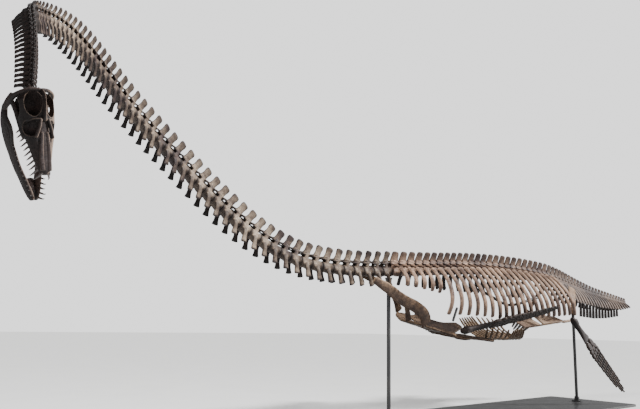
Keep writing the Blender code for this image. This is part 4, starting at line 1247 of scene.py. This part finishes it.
# %% [markdown]
# ## Belly ribs
#
# Between the two girdles a basket of slim rods closes the belly. Every row has a winged middle
# piece and two overlapping rods to each side, pointed at both ends.

# %% The belly basket
BELLY_ROWS = 11
BELLY_FIRST_X = 0.06
BELLY_STEP = 0.080
BELLY_HEIGHT = -0.86
BELLY_MIDDLE = (  # back, out, up, half width, half thickness
    (0.060, -0.120, 0.026, 0.009, 0.007), (0.026, -0.060, 0.008, 0.018, 0.011),
    (-0.006, 0.0, 0.0, 0.026, 0.013), (0.026, 0.060, 0.008, 0.018, 0.011),
    (0.060, 0.120, 0.026, 0.009, 0.007))
BELLY_SIDE = (
    ((0.016, 0.062, 0.022, 0.009, 0.007), (0.076, 0.145, 0.040, 0.018, 0.012),
     (0.140, 0.235, 0.084, 0.010, 0.008)),
    ((0.100, 0.175, 0.052, 0.009, 0.007), (0.165, 0.250, 0.105, 0.017, 0.013),
     (0.215, 0.300, 0.160, 0.015, 0.012), (0.250, 0.330, 0.200, 0.009, 0.009)))
bm = bmesh.new()
for row in range(BELLY_ROWS):
    x = BELLY_FIRST_X + row * BELLY_STEP
    spread = 1.0 - 0.35 * abs(2 * row / (BELLY_ROWS - 1) - 1)
    for form, side in ((BELLY_MIDDLE, 1), *((rod, side) for side in (-1, 1) for rod in BELLY_SIDE)):
        bar(bm, [(Vector((x - back, side * out * spread, BELLY_HEIGHT + up)), wide, thick)
                 for back, out, up, wide, thick in form], X, 10, 4)
wobble(bm, bm.verts, 0.05, 0.0018)
bmesh.ops.recalc_face_normals(bm, faces=bm.faces)
bmesh.ops.transform(bm, matrix=banked(BELLY_BANK), verts=bm.verts)
piece("belly_rods", bm, [GIRDLE_BONE], ["belly_ribs"])

# %% [markdown]
# ## The mount's steel
#
# A bent rail inside the rib cage carries the long ribs, a short rod carries the shoulder, and two
# posts on a flat plate hold the backbone. Bar stock is swept along its bends; the posts are
# turned forms with a flange at the foot and a cup under the bone.

# %% Rail, shoulder rod and posts
def steel_piece(name, bm, node):
    bmesh.ops.recalc_face_normals(bm, faces=bm.faces)
    for edge in bm.edges:
        edge.smooth = edge.calc_face_angle(0.0) < 0.6
    piece(name, bm, [STEEL], [node])


RAIL = ((-0.77, -0.22, -0.21), (-0.465, -0.28, -0.324), (-0.09, -0.28, -0.418),
        (0.25, -0.28, -0.37), (0.63, -0.27, -0.29))
SHOULDER_ROD = ((-0.994, -0.20, -0.480), (-1.005, -0.15, -0.620))
for name, path, radius, hint, fineness in (("rib_rail", RAIL, 0.017, Z, 8),
                                           ("shoulder_rod", SHOULDER_ROD, 0.014, Y, 6)):
    bm = bmesh.new()
    bar(bm, [(Vector(p) + SHIFT, radius, radius) for p in path], hint, 14, fineness)
    steel_piece(name, bm, f"armature_{name}")


SHAFT_RADIUS = 0.0215
BOLT_CIRCLE_RADIUS = 0.053


def post(name, node):
    """A turned post that fills its node's height: flange, collar, shaft and cup."""
    low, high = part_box(node)
    x, y = (low[0] + high[0]) / 2, (low[1] + high[1]) / 2
    top = high[2] - low[2]
    profile = ((0.000, 0.070), (0.010, 0.070), (0.013, 0.066), (0.014, 0.036), (0.060, 0.034),
               (0.066, 0.030), (0.068, SHAFT_RADIUS), (top - 0.070, SHAFT_RADIUS),
               (top - 0.066, 0.030),
               (top - 0.030, 0.033), (top - 0.004, 0.040), (top - 0.001, 0.036))
    bm = bmesh.new()
    sweep(bm, [station(Vector((x, y, low[2] + z)), Z, X, r, r) for z, r in profile], 40)
    for k in range(4):
        angle = math.tau * (k + 0.5) / 4
        spot = Vector((x + BOLT_CIRCLE_RADIUS * math.cos(angle),
                       y + BOLT_CIRCLE_RADIUS * math.sin(angle), low[2] + 0.006))
        sweep(bm, [station(spot + Z * z, Z, X, r, r)
                   for z, r in ((0.0, 0.008), (0.011, 0.008), (0.013, 0.006))], 6)
    steel_piece(name, bm, node)


post("front_post", "stand_rod_front")
post("rear_post", "stand_rod_rear")

# %% The plate on the floor
low, high = (Vector(c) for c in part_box("stand_base"))
bm = bmesh.new()
bmesh.ops.create_cube(bm, size=1.0, matrix=Matrix.Translation((low + high) / 2)
                      @ Matrix.Diagonal((*(high - low), 1.0)))
upright = [e for e in bm.edges if abs((e.verts[0].co - e.verts[1].co).z) > 0.01]
bmesh.ops.bevel(bm, geom=upright, offset=0.06, offset_type="OFFSET", affect="EDGES", segments=8,
                profile=0.5, material=-1)
rim = [e for e in bm.edges if e.calc_face_angle(0.0) > 1.2]
bmesh.ops.bevel(bm, geom=rim, offset=0.004, offset_type="OFFSET", affect="EDGES", segments=3,
                profile=0.5, material=-1)
steel_piece("floor_plate", bm, "stand_base")

# %% [markdown]
# ## Floor, light and camera
#
# A plain pale floor and large soft lamps keep the attention on the bones. The camera stands low,
# ahead of the head and to the animal's left, and looks back along the body.

# %% Floor
bm = bmesh.new()
bmesh.ops.create_grid(bm, x_segments=1, y_segments=1, size=60.0)
floor_mesh = mesh_of(bm, "floor")
floor = linked("floor", floor_mesh)
floor_paint = Paint("floor_paint")
floor_tone = floor_paint.noise(1.5, 3.0)
floor_mesh.materials.append(floor_paint.finish(
    floor_paint.mix(floor_tone, (0.80, 0.80, 0.79), (0.84, 0.84, 0.83)),
    floor_paint.steps(floor_tone, 0.3, 0.7, 0.70, 0.80)))

# %% Soft light: a bright backdrop for the camera, a dimmer sky for the bones
world = bpy.data.worlds.new("sky")
world.use_nodes = True
sky_tree = world.node_tree
sky = sky_tree.nodes["Background"]
backdrop = sky_tree.nodes.new("ShaderNodeBackground")
for background, strength in ((sky, 0.35), (backdrop, 1.7)):
    background.inputs["Color"].default_value = (1.0, 1.0, 1.0, 1.0)
    background.inputs["Strength"].default_value = strength
ray = sky_tree.nodes.new("ShaderNodeLightPath")
blend = sky_tree.nodes.new("ShaderNodeMixShader")
sky_tree.links.new(ray.outputs["Is Camera Ray"], blend.inputs[0])
sky_tree.links.new(sky.outputs[0], blend.inputs[1])
sky_tree.links.new(backdrop.outputs[0], blend.inputs[2])
sky_tree.links.new(blend.outputs[0], sky_tree.nodes["World Output"].inputs["Surface"])
bpy.context.scene.world = world

# %% A soft lamp above and a key light from the right
lamp_data = bpy.data.lights.new("top", "AREA")
lamp_data.shape = "DISK"
lamp_data.size = 2.5
lamp_data.energy = 500
lamp = linked("top", lamp_data)
lamp.location = (-3.0, -1.0, 8.0)
lamp.rotation_euler = Vector((1.5, 1.2, -6.2)).to_track_quat("-Z", "Y").to_euler()
sun = bpy.data.lights.new("key", "SUN")
sun.energy = 8.0
sun.angle = math.radians(9)
key = linked("key", sun)
key.rotation_euler = Vector((-0.68, 0.52, -0.52)).to_track_quat("-Z", "Y").to_euler()

# %% Camera
CAMERA_PLACE = Vector((-7.36224, -5.0814, -0.69103)) + SHIFT
CAMERA_RIGHT = Vector((0.74954, -0.66177, 0.01591))
CAMERA_UP = Vector((-0.12552, -0.11849, 0.98499))
CAMERA_LENS = 38.81
lens = bpy.data.cameras.new("camera")
lens.lens = CAMERA_LENS
lens.sensor_width = 36.0
lens.clip_end = 200.0
camera = linked("camera", lens)
turn = Matrix((CAMERA_RIGHT, CAMERA_UP, CAMERA_RIGHT.cross(CAMERA_UP))).transposed().to_4x4()
camera.matrix_world = Matrix.Translation(CAMERA_PLACE) @ turn
bpy.context.scene.camera = camera
